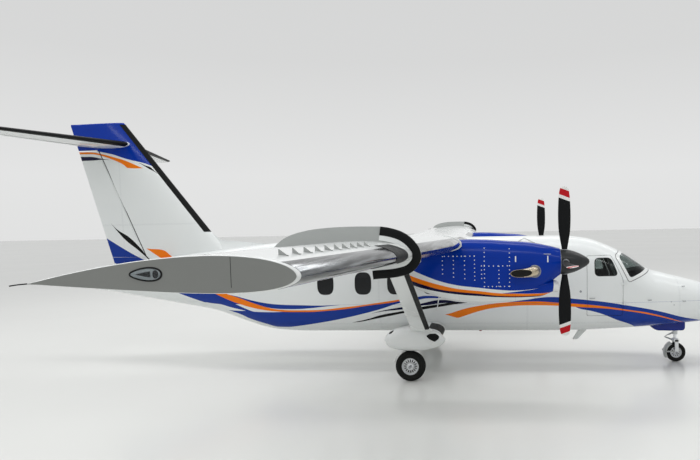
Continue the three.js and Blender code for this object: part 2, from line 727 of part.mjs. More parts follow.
const nacelleBody = cowl(0).add(scoop(INTAKE[0][0], INTAKE.at(-1)[0], 0));
const engineRoom = join(
  rod(BAY.radius, BAY.end - ENGINE.rear, 'x', [(BAY.end + ENGINE.rear) / 2, -ENGINE_Y, SHAFT_Z], 20),
  rod(BAY.mouth, 500, 'x', [BAY.end + 100, -ENGINE_Y, SHAFT_Z], 20),
);
const intakeMouth = scoop(3600, INTAKE.at(-1)[0] + 30, 18);
const nacelleShell = nacelleBody.subtract(engineRoom).subtract(intakeMouth).subtract(wholeWing);
const engineBlock = turned([
  [0, ENGINE.rear + GAP],
  [ENGINE.radius, ENGINE.rear + GAP],
  [ENGINE.radius, ENGINE.shoulder],
  [ENGINE.neck, ENGINE.shoulder + 60],
  [ENGINE.neck, ENGINE.front],
  [0, ENGINE.front],
], 'x', [0, -ENGINE_Y, SHAFT_Z], 20);

// Exhaust stack: an oval pipe that leaves the cowling and bends aft
const STACK_Z = 2425;
const stackPath = [
  // x, distance outboard of the engine line, pipe half height, half width
  [3440, 300, 100, 95],
  [3400, 400, 92, 88],
  [3300, 470, 82, 72],
  [3180, 500, 76, 62],
  [3050, 512, 72, 58],
];
const PIPE_SIDES = 16;
const stackRing = ([x, out, tall, deep], aim) => Array.from({ length: PIPE_SIDES }, (_, i) => {
  const angle = (i / PIPE_SIDES) * FULL_TURN;
  const across = deep * Math.cos(angle);
  const y = -ENGINE_Y - out - across * Math.sin(aim);
  return [x + across * Math.cos(aim), y, STACK_Z + tall * Math.sin(angle)];
});
const STACK_AIMS = [0, 0.55, 1.1, 1.4, 1.5];
const stackRings = (inset) => stackPath.map(([x, out, tall, deep], i) =>
  stackRing([x, out, tall - inset, deep - inset], STACK_AIMS[i]));
const stackOuter = loft(stackRings(0));
const stackInner = loft([...stackRings(8).slice(2), stackRing([2990, 516, 64, 50], 1.5)]);
const exhaust = stackOuter.subtract(stackInner).subtract(cowl(GAP));

for (const [name, side] of SIDES) {
  piece(`nacelle_${name}`, finish.blue, onSide(biggest(nacelleShell), side));
  piece(`engine_${name}`, finish.steel, onSide(engineBlock, side));
  piece(`exhaust_${name}`, finish.exhaust, onSide(biggest(exhaust), side));
}

// Propellers: blades stand feathered, edge on to the airflow, round a hub and backplate
const BLADE = [
  // radius, chord, thickness, twist in degrees
  [90, 96, 90, 0],
  [250, 104, 84, -6],
  [380, 150, 52, -14],
  [560, 205, 36, -10],
  [780, 228, 27, -4],
  [1000, 226, 21, 2],
  [1250, 196, 14, 7],
  [PROP_RADIUS, 80, 7, 9],
];
const bladeRing = ([radius, chord, thick, twist]) => Array.from({ length: 10 }, (_, i) => {
  const angle = (i / 10) * FULL_TURN;
  const along = (chord / 2) * Math.cos(angle);
  const across = (thick / 2) * Math.sin(angle) * (1 - 0.25 * Math.cos(angle));
  const aim = THREE.MathUtils.degToRad(twist);
  return [
    along * Math.cos(aim) - across * Math.sin(aim),
    along * Math.sin(aim) + across * Math.cos(aim),
    radius,
  ];
});
const blade = loft(BLADE.map(bladeRing));
const HUB = { backFace: 3968 - PROP_X, plate: 16, radius: 118, front: 120 };
const blades = [0, 90, 180, 270].map((angle) => blade.rotate([angle, 0, 0]));
const propeller = join(
  turned([
    [0, ENGINE.front + GAP - PROP_X],
    [60, ENGINE.front + GAP - PROP_X],
    [60, HUB.backFace],
    [SPINNER_RADIUS - 6, HUB.backFace],
    [SPINNER_RADIUS - 6, HUB.backFace + HUB.plate],
    [HUB.radius, HUB.backFace + HUB.plate],
    [HUB.radius, HUB.front],
    [0, HUB.front],
  ], 'x', [0, 0, 0], 20),
  ...blades,
);

// The spinner is a thin cap that sits on the backplate, notched for the blade shanks
const SPINNER_SHAPE = [
  // radius, distance ahead of the base
  [SPINNER_RADIUS, 0],
  [SPINNER_RADIUS * 0.96, 130],
  [SPINNER_RADIUS * 0.8, 270],
  [SPINNER_RADIUS * 0.52, 410],
  [SPINNER_RADIUS * 0.24, 505],
];
const spinnerBase = HUB.backFace + HUB.plate + GAP;
const spinnerOuter = turned(
  [[0, spinnerBase], ...SPINNER_SHAPE.map(([r, along]) => [r, spinnerBase + along]), [0, spinnerBase + 534]],
  'x', [0, 0, 0], 20,
);
const spinnerInner = turned([
  [0, spinnerBase - 10],
  ...SPINNER_SHAPE.map(([r, along]) => [r - 8, spinnerBase + along - (along ? 0 : 10)]),
  [0, spinnerBase + 515],
], 'x', [0, 0, 0], 20);
const shankNotch = join(...[0, 90, 180, 270].map((angle) =>
  rod(72, 400, 'z', [0, 0, 200], 12).rotate([angle, 0, 0])));
const spinner = spinnerOuter.subtract(spinnerInner).subtract(shankNotch);

for (const [name, side] of SIDES) {
  const at = [PROP_X, side * ENGINE_Y, SHAFT_Z];
  piece(`propeller_${name}`, finish.blade, propeller, at);
  piece(`spinner_${name}`, finish.spinner, spinner, at);
}

// Fin and rudder
const FIN = { foot: 2440, top: 6023, leadFoot: -3695, leadTop: -6490, trailFoot: -6940, trailTop: -7937 };
const RUDDER = {
  foot: 2640,
  top: 5330,
  hingeFoot: -6074,
  hingeTop: -7218,
  up: 27,
  down: 27,
  clear: END_GAP,
  ends: [24, 30],
};
const finStation = (z) => {
  const k = (z - FIN.foot) / (FIN.top - FIN.foot);
  return {
    lead: lerp(FIN.leadFoot, FIN.leadTop, k),
    trail: lerp(FIN.trailFoot, FIN.trailTop, k),
    thick: lerp(0.1, 0.09, k),
  };
};
const onFin = ([x, n], z) => [x, n, z];
const finRings = (grow) => [FIN.foot, FIN.top - 25].map((z) =>
  foilRing(finStation(z), grow).map((p) => onFin(p, z)));
const finCapRing = foilRing(finStation(FIN.top), -14).map((p) => onFin(p, FIN.top));
const rudderEnd = (z, x) => {
  const station = finStation(z);
  const [, radius] = foilAt(station, x);
  return { s: z, x, n: 0, radius, trail: station.trail, edge: 0 };
};
const rudder = hingedPanel(
  rudderEnd(RUDDER.foot, RUDDER.hingeFoot),
  rudderEnd(RUDDER.top, RUDDER.hingeTop),
  onFin,
  RUDDER,
);
const DORSAL_FIN = [
  // x, z
  [-3000, 2800],
  [-4300, 2650],
  [-4900, 3400],
  [-4305, 3222],
  [-4103, 3058],
];
const dorsal = sidePrism(DORSAL_FIN, -28, 28);
const finWhole = loft([...finRings(0), finCapRing]);
const fin = finWhole.add(dorsal).subtract(wholeHull).subtract(rudder.cove);
piece('fin', finish.white, biggest(fin));
piece('rudder', finish.white, biggest(rudder.panel));

// Tailplane and elevators
const TAILPLANE = { z: 5480, rootLead: -6300, rootTrail: -7766, tipLead: -7564, tipTrail: -8395, tipY: 3950 };
const ELEVATOR = { inner: 300, outer: 3860, hinge: 0.64, up: 24, down: 20 };
const tailStation = (y) => {
  const k = y / TAILPLANE.tipY;
  return {
    lead: lerp(TAILPLANE.rootLead, TAILPLANE.tipLead, k),
    trail: lerp(TAILPLANE.rootTrail, TAILPLANE.tipTrail, k),
    thick: lerp(0.13, 0.1, Math.min(1, k * 6)),
  };
};
const onTail = (side) => ([x, n], y) => [x, side * y, TAILPLANE.z + n];
const elevatorEnd = (y) => {
  const station = tailStation(y);
  const x = lerp(station.lead, station.trail, ELEVATOR.hinge);
  const [, radius] = foilAt(station, x);
  return { s: y, x, n: 0, radius, trail: station.trail, edge: 0 };
};
const finCutter = loft(finRings(GAP));
for (const [name, side] of SIDES) {
  const elevator = hingedPanel(
    elevatorEnd(ELEVATOR.inner),
    elevatorEnd(ELEVATOR.outer),
    onTail(side),
    ELEVATOR,
  );
  const stations = [0, 200, 650, TAILPLANE.tipY - 30, TAILPLANE.tipY];
  const slab = loft(stations.map((y) => {
    const grow = y === TAILPLANE.tipY ? -10 : 0;
    return foilRing(tailStation(y), grow).map((point) => onTail(side)(point, y));
  }));
  piece(`tailplane_${name}`, finish.white, biggest(slab.subtract(finCutter).subtract(elevator.cove)));
  piece(`elevator_${name}`, finish.white, elevator.panel);
}

// Belly blade aerial
const aerial = sidePrism([[4600, 830], [4900, 830], [4760, 523], [4620, 523]], -9, 9);
piece('belly_aerial', finish.white, biggest(aerial.subtract(wholeHull)));

export default aircraft;
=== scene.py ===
# %% [markdown]
# # Dressing a twin-engined airliner
# A commuter aircraft stands on its wheels under soft studio light: a white body with swept blue and
# orange bands, a high wing held by struts, polished leading edges and two four-bladed propellers.
# The solid model is already packed and has its joints. This lesson lays finished surfaces over it, one
# piece at a time, so that each one moves with the solid body that it belongs to.
#
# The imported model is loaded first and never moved. Everything else is placed in its frame: +X forward,
# +Y to the aircraft's left, +Z up, in metres.

# %% Load the solid model
import math

import bpy
import numpy as np
from mathutils import Matrix


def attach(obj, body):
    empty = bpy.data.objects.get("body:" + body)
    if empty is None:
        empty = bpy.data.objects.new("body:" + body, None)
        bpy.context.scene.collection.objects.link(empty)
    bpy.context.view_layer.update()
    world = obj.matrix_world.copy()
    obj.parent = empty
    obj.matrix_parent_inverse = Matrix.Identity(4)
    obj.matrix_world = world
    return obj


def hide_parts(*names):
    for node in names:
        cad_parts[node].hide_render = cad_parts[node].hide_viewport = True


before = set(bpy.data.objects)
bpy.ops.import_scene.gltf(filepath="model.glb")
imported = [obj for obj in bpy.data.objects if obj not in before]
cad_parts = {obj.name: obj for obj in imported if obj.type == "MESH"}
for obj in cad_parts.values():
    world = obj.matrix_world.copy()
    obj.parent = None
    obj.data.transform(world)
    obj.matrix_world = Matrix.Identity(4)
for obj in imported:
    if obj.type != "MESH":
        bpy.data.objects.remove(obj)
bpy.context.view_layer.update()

# %% [markdown]
# The camera is a real one worked out by least squares from points of the photograph: where it stood,
# which way it looked, and how it was rolled. Its centre of view isn't the centre of the picture, because
# the picture was cropped, and a lens shift gives the same frame without bending any line.

# %% Camera
PICTURE = (700, 460)
CENTRE_OF_VIEW = (435.853, 261.068)  # pixels
FOCAL = 596.145  # pixels
EYE = np.array([2.845, -14.311, 3.401])
heading, pitch, roll = np.radians([6.047, -3.862, -1.187])
look = np.array([-np.sin(heading) * np.cos(pitch), np.cos(heading) * np.cos(pitch), np.sin(pitch)])
level = np.array([np.cos(heading), np.sin(heading), 0.0])
upright = np.cross(level, look)
right = np.cos(roll) * level + np.sin(roll) * upright
up = -np.sin(roll) * level + np.cos(roll) * upright

camera = bpy.data.cameras.new("camera")
camera.sensor_width = 36.0
camera.lens = camera.sensor_width * FOCAL / PICTURE[0]
camera.shift_x = (PICTURE[0] / 2 - CENTRE_OF_VIEW[0]) / PICTURE[0]
camera.shift_y = (CENTRE_OF_VIEW[1] - PICTURE[1] / 2) / PICTURE[0]
camera_object = bpy.data.objects.new("camera", camera)
bpy.context.scene.collection.objects.link(camera_object)
bpy.context.scene.camera = camera_object
turn = np.eye(4)
turn[:3, 0], turn[:3, 1], turn[:3, 2], turn[:3, 3] = right, up, -look, EYE
camera_object.matrix_world = Matrix(turn.tolist())
print("lens", round(camera.lens, 2), "mm, shift", round(camera.shift_x, 4), round(camera.shift_y, 4))

# %% [markdown]
# ## Surfaces from numbers
# Every new piece is a surface worked out with numpy. A shape is a stack of closed rings of points, and a
# skin of four-sided faces joins each ring to the next. A piece is kept as a pair, its points and its
# blocks of faces, until it becomes a mesh. Faces have to point outwards for paint, glass and printing,
# and the volume under them tells: if it is negative, they are all turned over.

# %% Skins
MM = 0.001


def outward(points, blocks):
    """Turns the faces over where the sum of a . (b x c) over their triangles, six times the volume, is negative."""
    volume = 0.0
    for block in blocks:
        for i in range(1, block.shape[1] - 1):
            a, b, c = points[block[:, 0]], points[block[:, i]], points[block[:, i + 1]]
            volume += (a * np.cross(b, c)).sum()
    return (points, blocks) if volume > 0 else (points, [block[:, ::-1] for block in blocks])


def loft(rings, ends="fan", poles=None):
    """Joins rings[i, j] to rings[i + 1, j], round and round. A ring at an end is closed by a fan of triangles
    from a pole, else from its middle, by one flat face, or, where ends is joined, by a skin to the first ring."""
    rows, count = rings.shape[:2]
    points = rings.reshape(-1, 3)
    low = np.arange(rows if ends == "joined" else rows - 1)[:, None] * count
    high = (low + count) % (rows * count)
    here = np.arange(count)[None, :]
    after = (here + 1) % count
    blocks = [np.stack([low + here, low + after, high + after, high + here], -1).reshape(-1, 4)]
    first, last = np.arange(count)[::-1], np.arange(count) + (rows - 1) * count
    if ends == "fan":
        points = np.vstack([points, rings[[0, -1]].mean(1) if poles is None else poles])
        hubs = np.full(count, rows * count)
        blocks.append(np.stack([first, np.roll(first, -1), hubs], -1))
        blocks.append(np.stack([last, np.roll(last, -1), hubs + 1], -1))
    elif ends == "flat":
        blocks += [first[None, :], last[None, :]]
    return outward(points, blocks)


def together(*parts):
    """One part from several, with the later faces numbered on from the earlier points."""
    starts = np.cumsum([0] + [len(points) for points, _ in parts[:-1]])
    blocks = [block + start for (_, faces), start in zip(parts, starts) for block in faces]
    return np.vstack([points for points, _ in parts]), blocks


def on_side(part, side):
    """A part of the right side as it is, or mirrored to the left: Y changes sign and the faces turn over."""
    points, blocks = part
    return part if side < 0 else (points * [1, -1, 1], [block[:, ::-1] for block in blocks])


def moved(part, offset):
    return part[0] + offset, part[1]


def turned_about(part, axis, degrees, centre=(0, 0, 0)):
    """The part turned about the line through centre along x, y or z."""
    spin = np.array(Matrix.Rotation(math.radians(degrees), 3, axis.upper()))
    return (part[0] - centre) @ spin.T + centre, part[1]


SIDES = (("right", -1), ("left", 1))
print("tools for skins are ready")

# %% [markdown]
# A boolean joins, cuts or keeps solids exactly, so a door and its doorway come from one wall and one
# outline. The modifiers are run on a throwaway object and only the finished mesh is kept. A finished
# piece sits at the origin with its place in its mesh, rides on its body, and can hide the plain solids
# that it stands for.

# %% Meshes and pieces
CREASE = 32  # degrees between two faces, above which their edge is drawn sharp


def mesh_of(name, part):
    """A mesh from points and blocks of faces."""
    mesh = bpy.data.meshes.new(name)
    mesh.from_pydata(part[0].tolist(), [], [face for block in part[1] for face in block.tolist()])
    mesh.update()
    return mesh


def carved(part, *steps):
    """The mesh left when each (operation, part) in turn is joined to, cut from or kept of the first part."""
    holder = bpy.data.objects.new("holder", mesh_of("holder", part))
    bpy.context.scene.collection.objects.link(holder)
    tools = [bpy.data.objects.new("tool", mesh_of("tool", tool)) for _, tool in steps]
    for (operation, _), tool in zip(steps, tools):
        bpy.context.scene.collection.objects.link(tool)
        boolean = holder.modifiers.new(operation, "BOOLEAN")
        boolean.operation = operation
        boolean.solver = "EXACT"
        boolean.object = tool
    bpy.context.view_layer.update()
    solid = holder.evaluated_get(bpy.context.evaluated_depsgraph_get())
    mesh = bpy.data.meshes.new_from_object(solid)
    for used in [holder, *tools]:
        data = used.data
        bpy.data.objects.remove(used)
        bpy.data.meshes.remove(data)
    return mesh


def pierced(part, *tools):
    """The mesh left when every other part is cut from the first."""
    return carved(part, *[("DIFFERENCE", tool) for tool in tools])


def place(name, shape, material, body="airframe", slot=None, stands_for=(), crease=CREASE, bevel=0.0):
    """A finished piece: a mesh or a part, with its material, on its body."""
    mesh = shape if isinstance(shape, bpy.types.Mesh) else mesh_of(name, shape)
    mesh.name = name
    mesh.materials.clear()
    mesh.materials.append(material)
    mesh.shade_smooth()
    mesh.set_sharp_from_angle(angle=math.radians(crease))
    piece = bpy.data.objects.new(name, mesh)
    bpy.context.scene.collection.objects.link(piece)
    if bevel:
        rounding = piece.modifiers.new("rounding", "BEVEL")
        rounding.width = bevel
        rounding.segments = 2
        rounding.limit_method = "ANGLE"
        rounding.angle_limit = math.radians(40)
    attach(piece, body)
    if stands_for:
        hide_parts(*stands_for)
    return piece


def pair(name, part, material, slot, stands_for=None, **more):
    """The right side's piece and its mirror on the left. A star in a name stands for the side."""
    for label, side in SIDES:
        solids = [stands_for.replace("*", label)] if stands_for else ()
        place(name.replace("*", label), on_side(part, side), material, slot=slot, stands_for=solids, **more)


print("tools for pieces are ready")

# %% [markdown]
# Three curves serve the whole aircraft. A table of sections becomes a smooth body through a cubic whose
# slope at each row is the mean of the chords beside it. An outline's corners are rounded with quadratic
# curves. A tube or a strip is a small section carried along a path.

# %% Curves
def smooth(table, at):
    """The table's later columns at each place of its first: between two rows a cubic with, at each row, the mean
    slope of the chords on its two sides."""
    t, v = table[:, 0], table[:, 1:]
    chord = np.diff(v, axis=0) / np.diff(t)[:, None]
    slope = np.vstack([chord[:1], (chord[1:] + chord[:-1]) / 2, chord[-1:]])
    at = np.asarray(at, float)
    i = np.clip(np.searchsorted(t, at, side="right") - 1, 0, len(t) - 2)
    step = (t[i + 1] - t[i])[:, None]
    p = (at - t[i])[:, None] / step
    rise = p * p * (3 - 2 * p)
    return (
        v[i] * (1 - rise)
        + v[i + 1] * rise
        + step * (slope[i] * p * (1 - p) ** 2 - slope[i + 1] * p * p * (1 - p))
    )


def body_rings(table, xs, inset=0.0, centre_y=0.0, count=96):
    """Rings along X whose section is |y / half| ** n + |z / reach| ** n = 1, in even steps of angle."""
    top, bottom, half, power = smooth(table, xs).T
    middle, reach, half, power = (v[:, None] for v in (
        (top + bottom) / 2, (top - bottom) / 2 - inset, half - inset, power))
    angle = (np.arange(count) + 0.5) / count * 2 * np.pi
    c, s = np.cos(angle), np.sin(angle)
    r = ((np.abs(c) / half) ** power + (np.abs(s) / reach) ** power) ** (-1 / power)
    return np.stack([np.broadcast_to(np.asarray(xs)[:, None], r.shape), centre_y + r * c, middle + r * s], -1)


def rounded(outline, radius, steps=6):
    """The outline with each corner replaced by a quadratic curve that starts and ends `radius` from it, or nearly
    half an edge away where the edge is short."""
    p = np.asarray(outline, float)
    before, after = np.roll(p, 1, 0) - p, np.roll(p, -1, 0) - p
    long_before, long_after = [np.linalg.norm(v, axis=1)[:, None] for v in (before, after)]
    start = p + before * np.minimum(radius / long_before, 0.48)
    end = p + after * np.minimum(radius / long_after, 0.48)
    t = np.linspace(0, 1, steps)[None, :, None]
    curve = (1 - t) ** 2 * start[:, None] + 2 * t * (1 - t) * p[:, None] + t ** 2 * end[:, None]
    return curve.reshape(-1, 2)


def stacked(rings):
    """A skin over a stack of rings, with a flat face at each end."""
    return loft(np.stack(rings), "flat")


def standing(line, y, z=0.0):
    """Points of [x, z] as points in space at that y, raised by z."""
    line = np.asarray(line, float)
    return np.stack([line[:, 0], np.full(len(line), y), z + line[:, 1]], -1)


def prism(outline, y0, y1):
    """A side view outline of [x, z] taken through from y0 to y1."""
    return stacked([standing(outline, y) for y in (y0, y1)])


def around(count):
    """Angles in even steps round a circle."""
    return np.arange(count) / count * 2 * np.pi


def swept(path, section, side_hint=(0, 0, 1), closed=False):
    """A section of [across, up] carried along a path of points. Up follows side_hint as nearly as it can, or one
    hint for each point of the path."""
    path = np.asarray(path, float)
    ahead, behind = np.roll(path, -1, 0), np.roll(path, 1, 0)
    if not closed:
        ahead[-1], behind[0] = path[-1], path[0]
    along = ahead - behind
    along /= np.linalg.norm(along, axis=1)[:, None]
    across = np.cross(along, np.broadcast_to(side_hint, path.shape))
    across /= np.linalg.norm(across, axis=1)[:, None]
    upward = np.cross(across, along)
    section = np.asarray(section, float)
    rings = path[:, None] + across[:, None] * section[None, :, :1] + upward[:, None] * section[None, :, 1:]
    return loft(rings, "joined" if closed else "flat")


def circle(radius, count=16, stretch=1.0):
    angle = around(count)
    return np.stack([radius * np.cos(angle), stretch * radius * np.sin(angle)], -1)


def oblong(x0, x1, z0, z1):
    """The corners of an upright rectangle, as an outline."""
    return [[x0, z0], [x1, z0], [x1, z1], [x0, z1]]


def rod(radius, start, end):
    """The profile of a plain round rod between two places on its axis."""
    return [[0, start], [radius, start], [radius, end], [0, end]]


def lathe(profile, axis, centre=(0, 0, 0), count=64):
    """A profile of [radius, distance along the axis] turned about x, y or z through the centre. A profile whose ends
    are on the axis closes at two poles, and any other is a ring of its own and closes on itself."""
    profile = np.asarray(profile, float)
    solid = profile[0, 0] < 1e-6
    angle = around(count)
    radius, along = (column[:, None] * np.ones(count) for column in (profile[1:-1] if solid else profile).T)
    a, b = radius * np.cos(angle), radius * np.sin(angle)
    order = {"x": [2, 0, 1], "y": [0, 2, 1], "z": [0, 1, 2]}[axis]
    rings = np.stack([a, b, along], -1)[..., order]
    poles = (profile[[0, -1]][:, [0, 0, 1]] * [0, 0, 1])[:, order]
    return moved(loft(rings, "fan", poles) if solid else loft(rings, "joined"), np.asarray(centre, float))


def arc(centre, radius, start, end, steps):
    """Points on a circle from one angle to another, in degrees, as [first, second] coordinates."""
    angle = np.radians(np.linspace(start, end, steps))
    return np.stack([centre[0] + radius * np.cos(angle), centre[1] + radius * np.sin(angle)], -1)


print("tools for curves are ready")

# %% [markdown]
# ## Finishes
# Each material starts from what the real surface is. One small function adds a node with its settings
# and links, so a material reads as a list of what it is made of. Colours are written as on a paint card,
# in sRGB hex, and turned to the linear values that the shader needs. Sizes are real ones: a noise with a
# feature of so many millimetres has a scale of one over that length.

# %% Node tools
def add(tree, kind, inputs=None, **settings):
    """Adds one node, sets its properties, and links or sets its inputs."""
    node = tree.nodes.new(kind)
    for name, value in settings.items():
        setattr(node, name, value)
    for name, value in (inputs or {}).items():
        if isinstance(value, bpy.types.NodeSocket):
            tree.links.new(value, node.inputs[name])
        else:
            node.inputs[name].default_value = value
    return node


def linear(hex_colour):
    """An sRGB hex colour as linear red, green, blue and alpha."""
    parts = np.array([int(hex_colour[i:i + 2], 16) for i in (1, 3, 5)]) / 255
    return (*np.where(parts <= 0.04045, parts / 12.92, ((parts + 0.055) / 1.055) ** 2.4), 1.0)


def started(name, **sockets):
    """A new material with one shader, whose uniform numbers are set on its own sockets."""
    material = bpy.data.materials.new(name)
    material.use_nodes = True
    tree = material.node_tree
    shader = next(node for node in tree.nodes if node.type == "BSDF_PRINCIPLED")
    for socket, value in sockets.items():
        shader.inputs[socket.replace("_", " ")].default_value = value
    return material, tree, shader


def spot(tree):
    """Each point's own place, in metres."""
    return add(tree, "ShaderNodeTexCoord").outputs["Object"]


def axes_of(tree):
    """X, Y and Z of each point."""
    return tuple(add(tree, "ShaderNodeSeparateXYZ", {"Vector": spot(tree)}).outputs)


def maths(tree, operation, *values):
    return add(tree, "ShaderNodeMath", dict(enumerate(values)), operation=operation).outputs[0]


def ranged(tree, value, start, end, low=0.0, high=1.0):
    """The value, with start to end carried over to low to high and held there beyond them."""
    return add(tree, "ShaderNodeMapRange", {"Value": value, "From Min": start, "From Max": end,
                                            "To Min": low, "To Max": high}).outputs["Result"]


def blend(tree, share, a, b, how="MIX"):
    """The colour a share of the way from a to b."""
    return add(tree, "ShaderNodeMix", {"Factor": share, "A": a, "B": b}, data_type="RGBA",
               blend_type=how).outputs["Result"]


def noise_of(tree, where, feature, detail):
    """A noise whose features are about that many millimetres."""
    scale = 1.0 / (feature * MM)
    return add(tree, "ShaderNodeTexNoise", {"Vector": where, "Scale": scale, "Detail": detail}).outputs["Fac"]


def stretched(tree, where, scale):
    return add(tree, "ShaderNodeMapping", {"Vector": where, "Scale": scale}).outputs["Vector"]


def bumped(tree, shader, height, strength, distance):
    """Presses a height of that many millimetres into the shader's normal."""
    relief = add(tree, "ShaderNodeBump", {"Height": height, "Strength": strength, "Distance": distance * MM})
    tree.links.new(relief.outputs["Normal"], shader.inputs["Normal"])


def grained(tree, shader, feature, low, high, bump=0.0):
    """Roughness between low and high, and a bump of that many millimetres, from one noise in Object coordinates."""
    noise = noise_of(tree, spot(tree), feature, 4.0)
    tree.links.new(ranged(tree, noise, 0.3, 0.7, low, high), shader.inputs["Roughness"])
    if bump:
        bumped(tree, shader, noise, 0.6, bump)
    return noise


def tinted(tree, shader, noise, dark, light):
    """A colour that wanders between two along a noise."""
    colour = blend(tree, noise, linear(dark), linear(light))
    tree.links.new(colour, shader.inputs["Base Color"])
    return colour


def plain(name, feature, low, high, dark, light, bump=0.0, **sockets):
    """A material whose roughness wanders between low and high, and its colour between two, along one noise."""
    material, tree, shader = started(name, **sockets)
    tinted(tree, shader, grained(tree, shader, feature, low, high, bump), dark, light)
    return material


print("node tools are ready")

# %% [markdown]
# The body and nacelle paint is a glossy two-pack polyurethane. Its bands are painted by place: a curve
# node holds the height of each band's lower and upper edge over X, measured from the photograph, and the
# band is where a point's height lies between the two. That keeps an edge crisp on any mesh, and it runs
# on unbroken from the fuselage over a door or up the fin. A band's two tables meet at their ends, or end
# beyond the part that wears them.

# %% Bands of paint
COBALT = "#003096"
WHITE, BLUE, NAVY, ORANGE, BLACK = "#E4E7E6", "#12368F", "#0A0B34", "#EE7A10", "#060708"


class Bands:
    """Paints bands over a base colour. Their edges are tables of [x, z] in millimetres."""

    def __init__(self, tree, base, heights):
        self.tree, self.colour, self.heights = tree, linear(base), heights
        self.x, self.y, self.z = axes_of(tree)
        self.level = self.share(self.z, heights)

    def share(self, value, limits):
        """How far along between two limits a coordinate lies, from 0 to 1."""
        return ranged(self.tree, value, limits[0] * MM, limits[1] * MM)

    def edge(self, rows, span, x):
        """The height of an edge over X, as a curve through its rows."""
        node = add(self.tree, "ShaderNodeFloatCurve", {"Value": x})
        curve = node.mapping.curves[0]
        low, tall = self.heights[0], self.heights[1] - self.heights[0]
        shares = [((x - span[0]) / (span[1] - span[0]), (z - low) / tall) for x, z in sorted(rows)]
        curve.points[0].location, curve.points[-1].location = shares[0], shares[-1]
        for share in shares[1:-1]:
            curve.points.new(*share)
        for point in curve.points:
            point.handle_type = "AUTO_CLAMPED"
        node.mapping.update()
        return node.outputs["Value"]

    def band(self, colour, top, bottom):
        """Paints where a point's height is between the two edges."""
        span = (min(top + bottom)[0], max(top + bottom)[0])
        x = self.share(self.x, span)
        above = maths(self.tree, "GREATER_THAN", self.level, self.edge(bottom, span, x))
        below = maths(self.tree, "LESS_THAN", self.level, self.edge(top, span, x))
        inside = maths(self.tree, "MULTIPLY", above, below)
        self.colour = blend(self.tree, inside, self.colour, linear(colour))


FRONT_BLUE_TOP = [(3000, 1540), (3226, 1571), (3368, 1590), (3509, 1613), (3678, 1638), (3987, 1658), (4158, 1652),
                  (4451, 1619), (4869, 1571), (5142, 1536), (5584, 1459), (6351, 1301), (6941, 1131), (7337, 1039),
                  (7520, 980), (7700, 500)]
FRONT_BLUE_BOTTOM = [(3000, 1540), (3611, 1510), (4159, 1490), (4440, 1460), (4621, 1386), (4874, 1330),
                     (5130, 1249), (5438, 1113), (5871, 922), (6100, 700), (7700, 500)]
FRONT_ORANGE_TOP = [(1606, 1267), (1750, 1300), (1893, 1349), (2100, 1410), (2330, 1458), (2761, 1522),
                    (3188, 1550), (3611, 1561), (4158, 1526), (4703, 1486), (5123, 1437), (5714, 1338),
                    (6142, 1262), (6782, 1067), (7050, 960)]
FRONT_ORANGE_BOTTOM = [(1606, 1267), (1740, 1226), (1880, 1184), (1900, 1182), (1920, 1187), (2040, 1226),
                       (2200, 1283), (2400, 1345), (2673, 1408), (3187, 1462), (3611, 1473),
                       (4159, 1456), (4620, 1421), (5124, 1388), (5716, 1307), (6145, 1225), (6790, 1045),
                       (7050, 960)]
REAR_THIN_TOP = [(-3560, 1750), (-3389, 1720), (-3023, 1631), (-2576, 1548), (-2202, 1517), (-1772, 1505),
                 (-1292, 1493), (-814, 1509)]
REAR_THIN_BOTTOM = [(-3560, 1750), (-3254, 1658), (-2916, 1543), (-2584, 1452), (-2365, 1420), (-1943, 1410),
                    (-1553, 1430), (-1198, 1467), (-814, 1506)]
REAR_ORANGE_TOP = [(-6010, 2860), (-5990, 2855), (-5514, 2798), (-5345, 2668), (-4600, 2230), (-3868, 1860),
                   (-3577, 1760), (-3254, 1661), (-2916, 1546), (-2585, 1451), (-2322, 1403), (-1784, 1383),
                   (-1301, 1390), (-818, 1439), (-341, 1493), (132, 1560), (539, 1619), (960, 1702)]
REAR_ORANGE_BOTTOM = [(-6010, 2860), (-5665, 2637), (-4900, 2220), (-4400, 1975), (-3870, 1743), (-3501, 1592),
                      (-3272, 1519), (-2999, 1446), (-2595, 1375), (-2329, 1352), (-1935, 1340), (-1627, 1340),
                      (-1143, 1366), (-662, 1412), (-185, 1483), (537, 1582), (960, 1702)]
REAR_BLUE_TOP = [(-7250, 3200), (-7045, 3079), (-6126, 2583), (-5300, 2270), (-4900, 2140),
                 *REAR_ORANGE_BOTTOM[3:-1], (998, 1683), (1185, 1705), (1395, 1696), (1511, 1679), (1580, 1672)]
REAR_BLUE_BOTTOM = [(-7250, 2590), (-6884, 2468), (-4883, 1739), (-4511, 1612), (-4278, 1540), (-3673, 1359),
                    (-3344, 1262), (-3132, 1161), (-2693, 1020), (-2424, 945), (-2214, 945), (-1863, 986),
                    (-1352, 1068), (-849, 1163), (-358, 1275), (124, 1402), (551, 1535), (1007, 1612), (1160, 1642),
                    (1301, 1650), (1441, 1649), (1580, 1672)]
